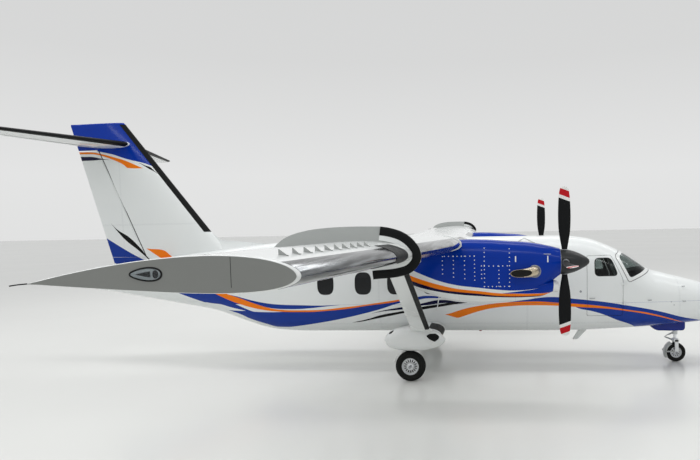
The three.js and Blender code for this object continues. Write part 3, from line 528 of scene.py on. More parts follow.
# Two pale wedges cut into the blue towards the tail
GAP_TOP = [(-4278, 1547), (-4027, 1519), (-3824, 1503), (-3537, 1433), (-3160, 1357)]
GAP_BOTTOM = [(-4278, 1547), (-4000, 1430), (-3673, 1355), (-3300, 1352), (-3160, 1357)]
WEDGE_TOP = [(-3400, 1520), (-3272, 1519), (-2999, 1446), (-2595, 1375), (-2329, 1352), (-2200, 1346)]
WEDGE_BOTTOM = [(-3400, 1520), (-3148, 1410), (-2948, 1342), (-2600, 1335), (-2329, 1340), (-2200, 1346)]
REAR_LOW_TOP = [(-120, 1290), (184, 1370), (625, 1447), (1051, 1524), (1228, 1563), (1393, 1598), (1579, 1608),
                (1718, 1596), (1857, 1571), (1995, 1554), (2070, 1546)]
REAR_LOW_BOTTOM = [(-120, 1290), (183, 1347), (637, 1393), (1061, 1477), (1249, 1492), (1437, 1522), (1624, 1537),
                   (1810, 1543), (1995, 1542), (2070, 1546)]
SWOOSH_TOP = [(-600, 1068), (-213, 1157), (113, 1256), (620, 1351), (1135, 1460), (1459, 1505), (1826, 1549),
              (2140, 1543)]
SWOOSH_BOTTOM = [(-600, 1068), (-383, 1089), (-55, 1157), (426, 1255), (663, 1303), (1132, 1390), (1457, 1442),
                 (1825, 1502), (2129, 1541), (2140, 1543)]
FIN_SWOOSH_LEFT = [(-6973, 3505), (-6617, 3107), (-6220, 2798), (-5986, 2599), (-5700, 2380)]
FIN_SWOOSH_RIGHT = [(-6973, 3505), (-6793, 3341), (-6464, 3140), (-6178, 2868), (-5986, 2640), (-5700, 2380)]
CAP_BOTTOM = [(-8400, 5385), (-7691, 5357), (-7354, 5345), (-7092, 5304), (-6791, 5236), (-6423, 5112),
              (-6055, 5018), (-5951, 4989), (-5802, 4930), (-5600, 4850)]
CAP_ORANGE_TOP = [(-7800, 5340), (-7695, 5327), (-7354, 5309), (-7092, 5255), (-6795, 5176), (-6426, 5059),
                  (-6061, 4898), (-5990, 4870)]
CAP_ORANGE_BOTTOM = [(-7800, 5290), (-7660, 5273), (-7357, 5264), (-7095, 5210), (-6799, 5106), (-6600, 5020),
                     (-6500, 4965), (-6400, 4885), (-6025, 4868), (-5990, 4870)]
CAP_NAVY_TOP = [(-7800, 5222), (-7638, 5209), (-7361, 5194), (-7099, 5140), (-6850, 5098)]
CAP_NAVY_BOTTOM = [(-7800, 5095), (-7614, 5107), (-7367, 5106), (-7101, 5115), (-6850, 5098)]
CAP_LINE_TOP = [(-6150, 5002), (-6080, 4999), (-5939, 4938), (-5804, 4888), (-5695, 4790), (-5600, 4700)]
CAP_LINE_BOTTOM = [(-6150, 5002), (-6080, 4992), (-5939, 4911), (-5837, 4846), (-5701, 4772), (-5600, 4700)]
print("band edges for the body, fin and nacelles")

# %% [markdown]
# Aircraft skin is sheet metal, lapped and riveted. From across a hangar it looks like one smooth shell,
# but close up the laps show as fine lines with a row of flush rivets beside them. A ping-pong wave of an
# object's own position repeats such a line every so many millimetres. Real laps are about 2 mm wide and
# rivet heads 5 mm across, and both are drawn a little wider here so that they survive in the picture.

# %% Laps and rivets
LAP, RIVET, ASIDE = 3.5, 8, 18  # a lap's width, a rivet row's width, and the distance of the row from the lap


def lines(tree, value, spacing, width, offset=0.0):
    """1 on lines of that width across a coordinate, every so many millimetres, else 0."""
    wave = maths(tree, "PINGPONG", maths(tree, "ADD", value, offset * MM), spacing * MM / 2)
    return maths(tree, "LESS_THAN", wave, width * MM / 2)


def riveted(tree, along, across, spacing, offset=0.0, pitch=32):
    """Laps across `along`, with a row of rivets on each side, as one mask."""
    mask = lines(tree, along, spacing, LAP, offset)
    for aside in (ASIDE, -ASIDE):
        heads = maths(tree, "MULTIPLY", lines(tree, across, pitch, RIVET),
                      lines(tree, along, spacing, RIVET, offset + aside))
        mask = maths(tree, "MAXIMUM", mask, heads)
    return mask


def glossed(tree, shader, colour, seams):
    """Joins a painted colour to the shader: slightly darker in the seams, which are pressed in, and with the faint
    dust and orange peel of sprayed paint."""
    where = spot(tree)
    peel, film = noise_of(tree, where, 12, 2.0), noise_of(tree, where, 900, 5.0)
    shaded = blend(tree, seams, colour, (0.72, 0.73, 0.75, 1), "MULTIPLY")
    dusted = blend(tree, film, shaded, (0.95, 0.955, 0.965, 1), "MULTIPLY")
    tree.links.new(dusted, shader.inputs["Base Color"])
    tree.links.new(ranged(tree, film, 0, 1, 0.16, 0.3), shader.inputs["Roughness"])
    bumped(tree, shader, maths(tree, "MULTIPLY_ADD", seams, -0.35, peel), 0.35, 0.25)


print("laps and rivets are ready")

# %% Gloss polyurethane on the body, doors, fin and rudder
# White topcoat under a clear coat: bright and smooth, with soft reflections of the lights
body_paint, tree, shader = started("polyurethane_body_paint", Coat_Weight=0.12, Coat_Roughness=0.06, IOR=1.22)
bands = Bands(tree, WHITE, (400, 6100))
FIN_TOP = [(x, 6090) for x, _ in CAP_BOTTOM]
for edges in (
    (BLUE, FRONT_BLUE_TOP, FRONT_BLUE_BOTTOM),
    (ORANGE, FRONT_ORANGE_TOP, FRONT_ORANGE_BOTTOM),
    (BLUE, REAR_THIN_TOP, REAR_THIN_BOTTOM),
    (BLUE, REAR_BLUE_TOP, REAR_BLUE_BOTTOM),
    (WHITE, GAP_TOP, GAP_BOTTOM),
    (WHITE, WEDGE_TOP, WEDGE_BOTTOM),
    (ORANGE, REAR_ORANGE_TOP, REAR_ORANGE_BOTTOM),
    (NAVY, REAR_LOW_TOP, REAR_LOW_BOTTOM),
    (BLACK, SWOOSH_TOP, SWOOSH_BOTTOM),
    (BLACK, FIN_SWOOSH_RIGHT, FIN_SWOOSH_LEFT),
    (COBALT, FIN_TOP, CAP_BOTTOM),
    (ORANGE, CAP_ORANGE_TOP, CAP_ORANGE_BOTTOM),
    (NAVY, CAP_NAVY_TOP, CAP_NAVY_BOTTOM),
    (BLACK, CAP_LINE_TOP, CAP_LINE_BOTTOM),
):
    bands.band(*edges)
frames = riveted(tree, bands.x, bands.z, 3365, -100)
stringers = riveted(tree, bands.z, bands.x, 2420, -1040)
glossed(tree, shader, bands.colour, maths(tree, "MAXIMUM", frames, stringers))
print(body_paint.name, len(tree.nodes), "nodes")

# %% Gloss polyurethane on the nacelles
# The cowling's bands come from the same measured tables, in the deeper cobalt of the photograph
NACELLE_BLUE_BOTTOM = [(500, 2700), (1000, 2590), (1255, 2480), (1486, 2379), (1771, 2277), (2054, 2209),
                       (2493, 2152), (2808, 2116), (3122, 2094), (3385, 2103), (3648, 2139), (4000, 2200)]
NACELLE_ORANGE_TOP = [(500, 2640), (1000, 2500), (1192, 2392), (1482, 2287), (1768, 2205), (2052, 2141),
                      (2492, 2090), (2807, 2050), (3122, 2032), (3437, 2027), (4000, 2040)]
NACELLE_ORANGE_BOTTOM = [(500, 2520), (1000, 2370), (1212, 2285), (1476, 2198), (1764, 2120), (2049, 2082),
                         (2491, 2037), (2806, 1998), (3122, 1982), (3437, 1982), (4000, 1990)]
NACELLE_NAVY_BOTTOM = [(500, 2440), (1000, 2270), (1251, 2184), (1606, 2098), (2142, 2021), (2489, 1993),
                       (2806, 1969), (3122, 1960), (3438, 1965), (4000, 1975)]
LOW_BLUE_TOP = [(2900, 2042), (3050, 2060), (3240, 2080), (3500, 2112), (3640, 2148), (4000, 2300)]
LOW_BLUE_BOTTOM = [(2900, 2042), (3122, 2034), (3437, 2029), (3700, 2032), (4000, 2040)]
nacelle_paint, tree, shader = started("polyurethane_nacelle_paint", Coat_Weight=0.08, Coat_Roughness=0.05, IOR=1.2)
bands = Bands(tree, WHITE, (1500, 3200))
bands.band(COBALT, [(500, 3190), (4000, 3190)], NACELLE_BLUE_BOTTOM)
bands.band(ORANGE, NACELLE_ORANGE_TOP, NACELLE_ORANGE_BOTTOM)
bands.band(NAVY, NACELLE_ORANGE_BOTTOM, NACELLE_NAVY_BOTTOM)
bands.band(COBALT, LOW_BLUE_TOP, LOW_BLUE_BOTTOM)
glossed(tree, shader, bands.colour, lines(tree, bands.x, 1040, 4, -2100))
print(nacelle_paint.name, len(tree.nodes), "nodes")

# %% Gloss polyurethane on the wings and tailplane
# White over sheet metal, whose laps repeat every 1.2 m along the span and every 1.3 m along the chord
wing_paint, tree, shader = started("polyurethane_wing_paint", Coat_Weight=0.5, Coat_Roughness=0.06, IOR=1.5)
x, y, _ = axes_of(tree)
ribs, spars = riveted(tree, y, x, 1220, 410), riveted(tree, x, y, 1320, 200)
glossed(tree, shader, linear(WHITE), maths(tree, "MAXIMUM", ribs, spars))

# Plain gloss paint in four more colours: fences and guard, the tips' end faces, the nose gear fairing, fittings
tip_paint = plain("polyurethane_grey_paint", 900, 0.34, 0.44, "#A0A3A1", "#A8ABA9",
                  Coat_Weight=0.15, Coat_Roughness=0.2, IOR=1.45)
face_paint = plain("polyurethane_tip_face_paint", 900, 0.34, 0.44, "#80827F", "#898B88",
                   Coat_Weight=0.1, Coat_Roughness=0.2, IOR=1.4)
blue_paint = plain("polyurethane_blue_paint", 700, 0.2, 0.28, "#08207A", "#0B2888",
                   Coat_Weight=0.2, Coat_Roughness=0.06, IOR=1.3)
gear_paint = plain("polyurethane_white_paint", 1100, 0.24, 0.32, "#DCDFDE", "#E4E6E5",
                   Coat_Weight=0.35, Coat_Roughness=0.1, IOR=1.45)
print(wing_paint.name, tip_paint.name, face_paint.name, blue_paint.name, gear_paint.name)

# %% [markdown]
# The leading edges, the legs and the wheels' rims are bare metal. Polished aluminium is a mirror that is
# never quite flat: long shallow waves, a hand's breadth across, stretch what it reflects into streaks
# along the span. A metal's colour is its reflection, and its IOR stays at the default. The leading edge's
# colour also carries painted reflections: it runs between a dark and a light grey in long streaks along
# the span.

# %% Bare metals
# Polished aluminium leading edge: a mirror whose colour also carries painted reflections, long dark and light streaks
# along the span
polished, tree, shader = started("polished_aluminium", Metallic=1.0)
where = spot(tree)
waves = noise_of(tree, stretched(tree, where, (1, 0.14, 1)), 170, 3.0)
# Painted reflections: a stretched noise runs the colour between dark and light grey in streaks along the span
painted_reflection_streaks = noise_of(tree, stretched(tree, where, (1, 0.05, 1)), 55, 2.0)
painted_reflection_tone = blend(tree, ranged(tree, painted_reflection_streaks, 0.38, 0.62), linear("#3A3D40"), linear("#8C9093"))
_, y, z = axes_of(tree)
joints = riveted(tree, y, z, 1350, 420, 20)
bumped(tree, shader, maths(tree, "MULTIPLY_ADD", joints, -0.08, waves), 0.6, 12)
tree.links.new(painted_reflection_tone, shader.inputs["Base Color"])
tree.links.new(ranged(tree, waves, 0.3, 0.7, 0.06, 0.16), shader.inputs["Roughness"])

# Cast and machined aluminium wheel: silver, a little dull, with fine grit
cast_alloy = plain("cast_aluminium", 6, 0.28, 0.42, "#C6C8CA", "#E0E2E4", 0.15, Metallic=1.0)
# Hard chrome on the sliding tubes of the legs
hard_chrome, tree, shader = started("hard_chrome", Base_Color=linear("#DADCDF"), Metallic=1.0)
grained(tree, shader, 20, 0.06, 0.12)
# Cadmium plated and painted steel of legs and fittings
plated_steel = plain("plated_steel", 30, 0.32, 0.5, "#8A8D90", "#A6A9AC", 0.1, Metallic=0.85)
# Heat tinted stainless steel of the exhaust stack: straw coloured, browner towards the soot at its mouth
exhaust_steel, tree, shader = started("heat_tinted_steel", Metallic=0.9)
straw = tinted(tree, shader, grained(tree, shader, 45, 0.24, 0.42, 0.15), "#A8987C", "#DDD2BC")
burnt = ranged(tree, axes_of(tree)[0], 3.05, 3.2, 0.75, 0.0)
tree.links.new(blend(tree, burnt, straw, linear("#4A4038")), shader.inputs["Base Color"])
# Soot inside the stack, and painted shade: the same near black fills the back of the intakes, and it also colours the
# brake drums
soot = plain("soot", 25, 0.85, 0.97, "#060606", "#161412", 0.3, IOR=1.45)
print(polished.name, cast_alloy.name, hard_chrome.name, plated_steel.name, exhaust_steel.name, soot.name)

# %% Rubber, satin paint and trim
# De-icing boot: black neoprene, satin
boot_rubber = plain("neoprene_boot", 60, 0.4, 0.55, "#090A0A", "#121414", IOR=1.25)
# Tyre: vulcanised rubber, chalky where it has been scrubbed
tyre_rubber = plain("tyre_rubber", 18, 0.7, 0.92, "#0C0D0C", "#1B1C1A", 0.4, IOR=1.3)
# Seals, wicks and hoses
black_rubber = plain("black_rubber", 12, 0.55, 0.75, "#0C0D0E", "#1A1B1C", 0.15, IOR=1.3)
# Spinner: satin grey paint over aluminium
spinner_paint = plain("satin_grey_paint", 70, 0.3, 0.44, "#242627", "#313334", 0.08,
                      Coat_Weight=0.1, Coat_Roughness=0.1, IOR=1.3)
# Seats, floor and trim of the flight deck
seat_leather = plain("seat_leather", 7, 0.5, 0.68, "#3C3A38", "#4B4845", 0.5, IOR=1.45, Sheen_Weight=0.1)
deck_vinyl = plain("deck_vinyl", 9, 0.62, 0.8, "#4A4A49", "#585755", 0.3, IOR=1.45)
panel_coating = plain("panel_coating", 3, 0.5, 0.66, "#15171A", "#202327", 0.2, IOR=1.45)
print(boot_rubber.name, tyre_rubber.name, black_rubber.name, spinner_paint.name, seat_leather.name)

# %% [markdown]
# The propeller blades are moulded composite in near black, with warning bands of white, red and white at
# the tips. The blades stand crossed at rest, and the bands follow the distance from the shaft, which is
# worked out in the material from the point's own place: |Y| less the shaft's 3.035 m, and Z less 2.592 m.
# Toward the leading edge the bands lean in by 0.386 of the way from the blade's middle, as on the real blade.

# %% Blade composite
SHAFT_Y, SHAFT_Z, BLADE_X = 3.035, 2.592, 4.063
LEAN = 0.386
BANDS_FROM, BANDS_TO = 1.0, 1.4
# The share of the way from the one to the other at which each colour starts
TIP_BANDS = ((0.0, "#0C0D0F"), (0.385, "#E4E4E2"), (0.545, "#B8141E"), (0.85, "#E4E4E2"))
blade_composite, tree, shader = started("blade_composite", IOR=1.25)
x, y, z = axes_of(tree)
lateral = maths(tree, "SUBTRACT", maths(tree, "ABSOLUTE", y), SHAFT_Y)
vertical = maths(tree, "SUBTRACT", z, SHAFT_Z)
flat = add(tree, "ShaderNodeCombineXYZ", {"X": lateral, "Y": vertical}).outputs["Vector"]
radius = add(tree, "ShaderNodeVectorMath", {0: flat}, operation="LENGTH").outputs["Value"]
reach = maths(tree, "MULTIPLY_ADD", maths(tree, "SUBTRACT", x, BLADE_X), LEAN, radius)
worn = tinted(tree, shader, grained(tree, shader, 40, 0.45, 0.6, 0.1), "#08090A", "#101214")
tip = add(tree, "ShaderNodeValToRGB", {"Fac": ranged(tree, reach, BANDS_FROM, BANDS_TO)})
tip.color_ramp.interpolation = "CONSTANT"
for (start, colour), element in zip(TIP_BANDS, list(tip.color_ramp.elements) + [None, None]):
    element = element or tip.color_ramp.elements.new(start)
    element.position, element.color = start, linear(colour)
first_band = BANDS_FROM + TIP_BANDS[1][0] * (BANDS_TO - BANDS_FROM)
banded = maths(tree, "GREATER_THAN", reach, first_band)
tree.links.new(blend(tree, banded, worn, tip.outputs["Color"]), shader.inputs["Base Color"])
print(blade_composite.name, "with bands beyond", round(first_band, 3), "m")

# %% [markdown]
# The flight deck has clear stretched acrylic that light passes through. The cabin windows are the same
# acrylic over a dark cabin, and from outside only their dark gloss shows, so they are opaque here.

# %% Glazing and lamps
clear_acrylic = plain("stretched_acrylic", 200, 0.0, 0.03, "#A3ADAB", "#B0B9B7", Transmission_Weight=1.0, IOR=1.25)
dark_acrylic = plain("dark_cabin_acrylic", 220, 0.04, 0.09, "#07090A", "#101416",
                     IOR=1.3, Coat_Weight=0.2, Coat_Roughness=0.02)
lamp_glass = plain("lamp_glass", 30, 0.05, 0.12, "#8F9BA2", "#DDE4E8", 0.2, IOR=1.3, Transmission_Weight=0.95)
beacon_glass = plain("beacon_glass", 20, 0.06, 0.14, "#7A1016", "#A81A20",
                     IOR=1.49, Coat_Weight=1.0, Coat_Roughness=0.02)
screen_glass = plain("screen_glass", 60, 0.05, 0.1, "#060A10", "#101A28",
                     IOR=1.5, Coat_Weight=1.0, Coat_Roughness=0.03)
print(clear_acrylic.name, dark_acrylic.name, lamp_glass.name, beacon_glass.name, screen_glass.name)

# %% [markdown]
# ## Fuselage
# The body is a stack of squarish rounded sections: a straight cabin between a long nose and a tail cone
# that sweeps up. Building it from its table of sections gives one smooth shell that is then split where
# the real one is: nose, flight deck, cabin and tail. The flight deck and tail are hollow and have real
# doorways, because their doors open.

# %% Table of sections
FUSELAGE = MM * np.array([
    # x, top, bottom, half width, power x 1000
    [-7760, 2250, 2020, 60, 2000],
    [-7650, 2330, 1900, 120, 2000],
    [-7000, 2450, 1770, 240, 2100],
    [-6044, 2575, 1608, 390, 2300],
    [-5000, 2690, 1440, 570, 2500],
    [-4015, 2790, 1262, 740, 2700],
    [-3300, 2870, 1020, 845, 2800],
    [-2700, 2930, 850, 905, 2900],
    [-2000, 2985, 790, 940, 3000],
    [-1300, 3000, 785, 945, 3000],
    [-600, 3000, 785, 945, 3000],
    [3400, 3000, 785, 945, 3000],
    [4000, 3000, 785, 945, 3000],
    [4500, 2982, 790, 936, 3000],
    [4935, 2915, 800, 918, 2900],
    [5280, 2790, 815, 892, 2800],
    [5714, 2570, 835, 848, 2700],
    [5990, 2385, 850, 812, 2600],
    [6260, 2200, 868, 772, 2500],
    [6600, 2100, 890, 715, 2400],
    [7000, 1995, 925, 635, 2300],
    [7474, 1860, 975, 520, 2200],
    [7950, 1690, 1045, 370, 2100],
    [8200, 1570, 1115, 255, 2000],
    [8340, 1465, 1185, 150, 2000],
    [8390, 1370, 1290, 45, 2000],
])
TAIL_X, CABIN_REAR, CABIN_FRONT, DECK_FRONT = -7.760, -1.300, 4.500, 6.300
SEAM = 0.0003  # between two shells
WALL = 0.030
RING = 128


def hull(x0, x1, inset=0.0, step=0.05, count=RING):
    """Rings of the fuselage from x0 to x1."""
    return body_rings(FUSELAGE, np.linspace(x0, x1, max(2, int(round((x1 - x0) / step)) + 1)), inset, 0.0, count)


def tube(x0, x1, wall=WALL, step=0.05, start=0.0):
    """The fuselage's wall from x0 to x1, or a sheet that starts within it: its outer rings forward and its inner
    rings back."""
    return loft(np.concatenate([hull(x0, x1, start, step), hull(x0, x1, wall, step)[::-1]]), "joined")


def side_point(table, x, z, side, proud=0.0, middle=0.0):
    """The point of a body's side at each x and z, standing proud of it along Y, where the body's middle is at y."""
    top, bottom, half, power = smooth(table, np.ravel(x)).T
    share = np.clip(np.abs(np.ravel(z) - (top + bottom) / 2) / ((top - bottom) / 2), 0, 1)
    y = half * (1 - share ** power) ** (1 / power) + proud
    return np.stack([np.ravel(x), middle + side * y, np.ravel(z)], -1)


def hull_side(x, z, side, proud=0.0):
    return side_point(FUSELAGE, x, z, side, proud)


# %% Nose and cabin shells
# The nose closes on a small dome: its last rings shrink along a quarter circle
DOME_X, DOME = 8.365, 0.025
quarter = (np.linspace(0, 1, 7)[1:] * np.pi / 2)[:, None, None]
tip = body_rings(FUSELAGE, [DOME_X])[0]
middle = tip.mean(0)
domed = middle + (tip - middle) * np.cos(quarter) + [DOME, 0, 0] * np.sin(quarter)
nose_rings = np.concatenate([hull(DECK_FRONT + SEAM, DOME_X, 0, 0.04, 96), domed[:-1]])
nose = loft(nose_rings, "fan", np.stack([nose_rings[0].mean(0), domed[-1].mean(0)]))
place("nose_shell", nose, body_paint, slot="airframe_paint", stands_for=["nose_section"])
cabin = loft(hull(CABIN_REAR + SEAM, CABIN_FRONT, 0, 0.1))
place("cabin_shell", cabin, body_paint, slot="airframe_paint", stands_for=["cabin_section"])
print("nose and cabin", len(nose[0]) + len(cabin[0]), "points")

# %% [markdown]
# The doors and windscreen are outlines in side view taken through the wall, so the piece that is cut
# out keeps the wall's curve. The doorway's corners are rounded as on the real door, and the door is
# the same outline a finger's gap smaller.

# %% Flight deck outlines
DOOR_GAP = 0.008
DOORWAY = MM * np.array([[4775, 1213], [5569, 1213], [5569, 2034], [5330, 2563], [4775, 2563]])
SIDE_WINDOW = MM * np.array([[4953, 2112], [5462, 2112], [5318, 2500], [4953, 2500]])
WINDSCREEN = MM * np.array([[5700, 1955], [6262, 2196], [6290, 2330], [5650, 2690], [5420, 2545]])
POST = 0.070
INSIDE, BEYOND = 0.3, 1.2  # a cut through one side runs out from well inside the wall to well outside it
HINGE_HEIGHTS, HINGE_X, HINGE_Y, HINGE_RADIUS, KNUCKLE = (1.420, 1.900), 5.584, 0.880, 0.014, 0.060


def side_cut(outline, side, start=INSIDE):
    """An outline taken out through one side's wall."""
    return prism(outline, side * start, side * BEYOND)


def grown(outline, by):
    """The outline with its edges moved outwards by that much: each corner moves along the two edge normals' sum."""
    p = np.asarray(outline, float)
    area = (p[:, 0] * np.roll(p[:, 1], -1) - np.roll(p[:, 0], -1) * p[:, 1]).sum()
    edge = np.roll(p, -1, 0) - p
    normal = np.stack([edge[:, 1], -edge[:, 0]], -1) / np.linalg.norm(edge, axis=1)[:, None] * np.sign(area)
    before = np.roll(normal, 1, 0)
    return p + by * (normal + before) / (1 + (normal * before).sum(1))[:, None]


def knuckles(side, low, towards):
    """Two short barrels round the door's hinge line, each with a tab that reaches fore or aft to its panel."""
    parts = []
    for height in HINGE_HEIGHTS:
        z0 = height + low
        barrel = lathe(rod(HINGE_RADIUS, z0, z0 + KNUCKLE - 0.001), "z", [HINGE_X, side * HINGE_Y, 0], 24)
        tab = oblong(HINGE_X, HINGE_X + towards, z0, z0 + KNUCKLE - 0.001)
        parts += [barrel, prism(tab, side * (HINGE_Y - 0.044), side * HINGE_Y)]
    return together(*parts)


print("doorway", DOORWAY[:, 0].min(), "to", DOORWAY[:, 0].max())

# %% Flight deck shell
# The windscreen's hole is cut in two halves, so that the post between them stays
screen_cuts = [side_cut(rounded(WINDSCREEN, 0.05), side, POST / 2) for _, side in SIDES]
door_cuts = [side_cut(rounded(DOORWAY, 0.05), side) for _, side in SIDES]
notches = [prism(oblong(5.56, 5.60, z - 0.006, z + KNUCKLE + 0.006), side * 0.78, side * 0.90)
           for _, side in SIDES for z in HINGE_HEIGHTS]
deck = pierced(tube(CABIN_FRONT + SEAM, DECK_FRONT, step=0.036), *screen_cuts, *door_cuts, *notches)
place("deck_shell", deck, body_paint, slot="airframe_paint", stands_for=["cockpit_section"])
hinge_steel = together(*[knuckles(side, KNUCKLE, 0.06) for _, side in SIDES])
place("door_hinge_barrels", hinge_steel, body_paint, slot="gear_metal")
print("flight deck", len(deck.vertices), "points")

# %% Crew doors
# The skin is the wall between the door's ends. A thin trim panel lies half a millimetre inside it
for name, side in SIDES:
    body = f"crew_door_{name}"
    keep = side_cut(rounded(grown(DOORWAY, -DOOR_GAP), 0.045), side)
    window = side_cut(rounded(SIDE_WINDOW, 0.10), side)
    door = carved(tube(4.6, 5.7, step=0.036), ("INTERSECT", keep), ("DIFFERENCE", window))
    place(f"crew_door_{name}_skin", door, body_paint, body, "airframe_paint", [body])
    sheet = tube(4.6, 5.7, WALL + 0.0030, 0.036, WALL + 0.0005)
    lining = carved(sheet, ("INTERSECT", keep), ("DIFFERENCE", window))
    place(f"crew_door_{name}_lining", lining, panel_coating, body, "cockpit_trim")
    place(f"crew_door_{name}_barrels", knuckles(side, 0.0, -0.06), body_paint, body, "gear_metal")
print("two crew doors")

# %% [markdown]
# A window pane is a patch of the same hull set a little way in, and its seal is a soft bead carried
# round its outline. Both read their curve from the hull, so they sit flush all the way round.

# %% Panes and seals
def pane(outline, side, depth=0.012, thick=0.008, steps=(36, 14), at=hull_side):
    """A curved pane that fills a convex side view outline: columns of points between its lower and upper edges, on
    two surfaces `thick` apart, the outer one `depth` inside the hull, or inside the body whose side `at` gives."""
    xs = np.linspace(outline[:, 0].min() + 1e-4, outline[:, 0].max() - 1e-4, steps[0])
    edge = np.vstack([outline, outline[:1]])
    low, high = heights_at(edge, xs)
    z = low[:, None] + (high - low)[:, None] * np.linspace(0, 1, steps[1])[None]
    x = np.broadcast_to(xs[:, None], z.shape)
    outer = at(x, z, side, -depth).reshape(*z.shape, 3)
    inner = at(x, z, side, -depth - thick).reshape(*z.shape, 3)
    return loft(np.concatenate([outer, inner[:, ::-1]], axis=1), "flat")


def heights_at(edge, xs):
    """The lowest and highest z of a closed outline at each x: every edge that spans x is asked, as one array."""
    a, b = edge[:-1, None], edge[1:, None]
    spans = (np.minimum(a[..., 0], b[..., 0]) <= xs) & (xs <= np.maximum(a[..., 0], b[..., 0]))
    run = np.where(np.abs(b[..., 0] - a[..., 0]) < 1e-9, 1e-9, b[..., 0] - a[..., 0])
    z = a[..., 1] + (xs - a[..., 0]) / run * (b[..., 1] - a[..., 1])
    return np.where(spans, z, 9).min(0), np.where(spans, z, -9).max(0)


def dense(outline, step=0.02):
    """The closed outline with points every step along it."""
    closed = np.vstack([outline, outline[:1]])
    length = np.concatenate([[0], np.cumsum(np.linalg.norm(np.diff(closed, axis=0), axis=1))])
    at = np.linspace(0, length[-1], int(length[-1] / step) + 1)[:-1]
    return np.stack([np.interp(at, length, closed[:, 0]), np.interp(at, length, closed[:, 1])], -1)


def bead(outline, side, width=0.012, tall=0.008, proud=0.0):
    """A low rounded bead on the hull along an outline."""
    line = dense(outline)
    path = hull_side(line[:, 0], line[:, 1], side, proud)
    away = hull_side(line[:, 0], line[:, 1], side, proud + 0.1) - path
    return swept(path, circle(width / 2, 10, tall / width), away, closed=True)


# %% Windscreen, door windows and their seals
for name, side in SIDES:
    body = f"crew_door_{name}"
    place(f"crew_door_{name}_window", pane(rounded(grown(SIDE_WINDOW, 0.015), 0.11), side, 0.010),
          clear_acrylic, body, "glazing", [f"crew_door_window_{name}"])
    seal = bead(rounded(SIDE_WINDOW, 0.10), side, 0.018, 0.010)
    place(f"crew_door_{name}_window_seal", seal, black_rubber, body, "cockpit_trim")
print("door windows and seals")

# %% [markdown]
# ## Wings
# Wing, tailplane, fin and struts share one aerofoil: a four-digit thickness about a slightly bent middle
# line. Its points crowd towards the nose, where the curve is tight and the mirror finish shows every
# facet. The flaps and ailerons are the rear of the same curve behind their hinge, with a round nose on
# the hinge, and they turn in coves cut from the wing.

# %% Aerofoil
EDGE = 0.003  # half the thickness of a trailing edge
BEDDED = 0.003  # how deep a strip lies in the foil that it is wrapped round


def surface(foil, u, sign=1, grow=0.0):
    """[x, height] on one side of a foil (lead, trail, thick, camber, droop) at shares u of its chord: the middle line
    4 camber u (1 - u) - droop u, plus or minus 5 thick (0.2969 sqrt u - 0.126 u - ...)."""
    lead, trail, thick, camber, droop = foil
    chord = lead - trail
    half = 5 * thick * (0.2969 * np.sqrt(u) - 0.126 * u - 0.3516 * u ** 2 + 0.2843 * u ** 3 - 0.1036 * u ** 4)
    middle = 4 * camber * u * (1 - u) - droop * u
    thickness = np.maximum(chord * half + EDGE * u + grow, 0.0006)
    return np.stack([lead - u * chord + grow * (1 - 2 * u), chord * middle + sign * thickness], -1)


def chord_steps(start, end, count=34):
    return start + (end - start) * (1 - np.cos(np.linspace(0, np.pi / 2, count)))


def section(foil, grow=0.0):
    """The whole outline of a foil, from the trailing edge over the top to the nose and back underneath."""
    u = chord_steps(0, 1)
    nose = [[foil[0] + grow, 0.0]]
    return np.concatenate([surface(foil, u[:0:-1], 1, grow), nose, surface(foil, u[1:], -1, grow)])


def edge_strip(foil, top, bottom, proud):
    """A strip wrapped round a foil's nose, from share `top` above to `bottom` below. It stands proud by that much and
    is bedded in the foil underneath."""
    over, under = chord_steps(0, top, 22)[:0:-1], chord_steps(0, bottom, 22)[1:]
    skins = [np.concatenate([surface(foil, over, 1, grow), [[foil[0] + grow, 0.0]], surface(foil, under, -1, grow)])
             for grow in (proud, -BEDDED)]
    return np.concatenate([skins[0], skins[1][::-1]])


def panel_end(foil, hinge):
    """The rear of a foil behind a hinge at x, closed by a half circle on the hinge line: returns the ring, the hinge's
    height and the circle's radius."""
    u = (foil[0] - hinge) / (foil[0] - foil[1])
    top, bottom = surface(foil, u, 1)[1] - EDGE * u, surface(foil, u, -1)[1] + EDGE * u
    middle, radius = (top + bottom) / 2, (top - bottom) / 2
    aft = np.linspace(u, 1, 12)
    ring = np.concatenate([surface(foil, aft[:0:-1], 1), arc((hinge, middle), radius, 90, -90, 21),
                           surface(foil, aft[1:], -1)])
    return ring, middle, radius


def cove_end(hinge, middle, radius, clear, up, down, aft=1.3, tall=0.26):
    """The hole that a panel turns in: a round bay about the hinge, whose lips stand back along the panel's faces."""
    def lip(degrees, sign):
        a, r = math.radians(degrees), radius + clear
        along = (tall - r * math.cos(a)) / math.sin(a)
        return [[hinge + r * math.sin(a) - along * math.cos(a), middle + sign * tall]]
    return np.concatenate([[[hinge - aft, middle + tall]], lip(up, 1),
                           arc((hinge, middle), radius + clear, 90 - up, down - 90, 17), lip(down, -1),
                           [[hinge - aft, middle - tall]]])


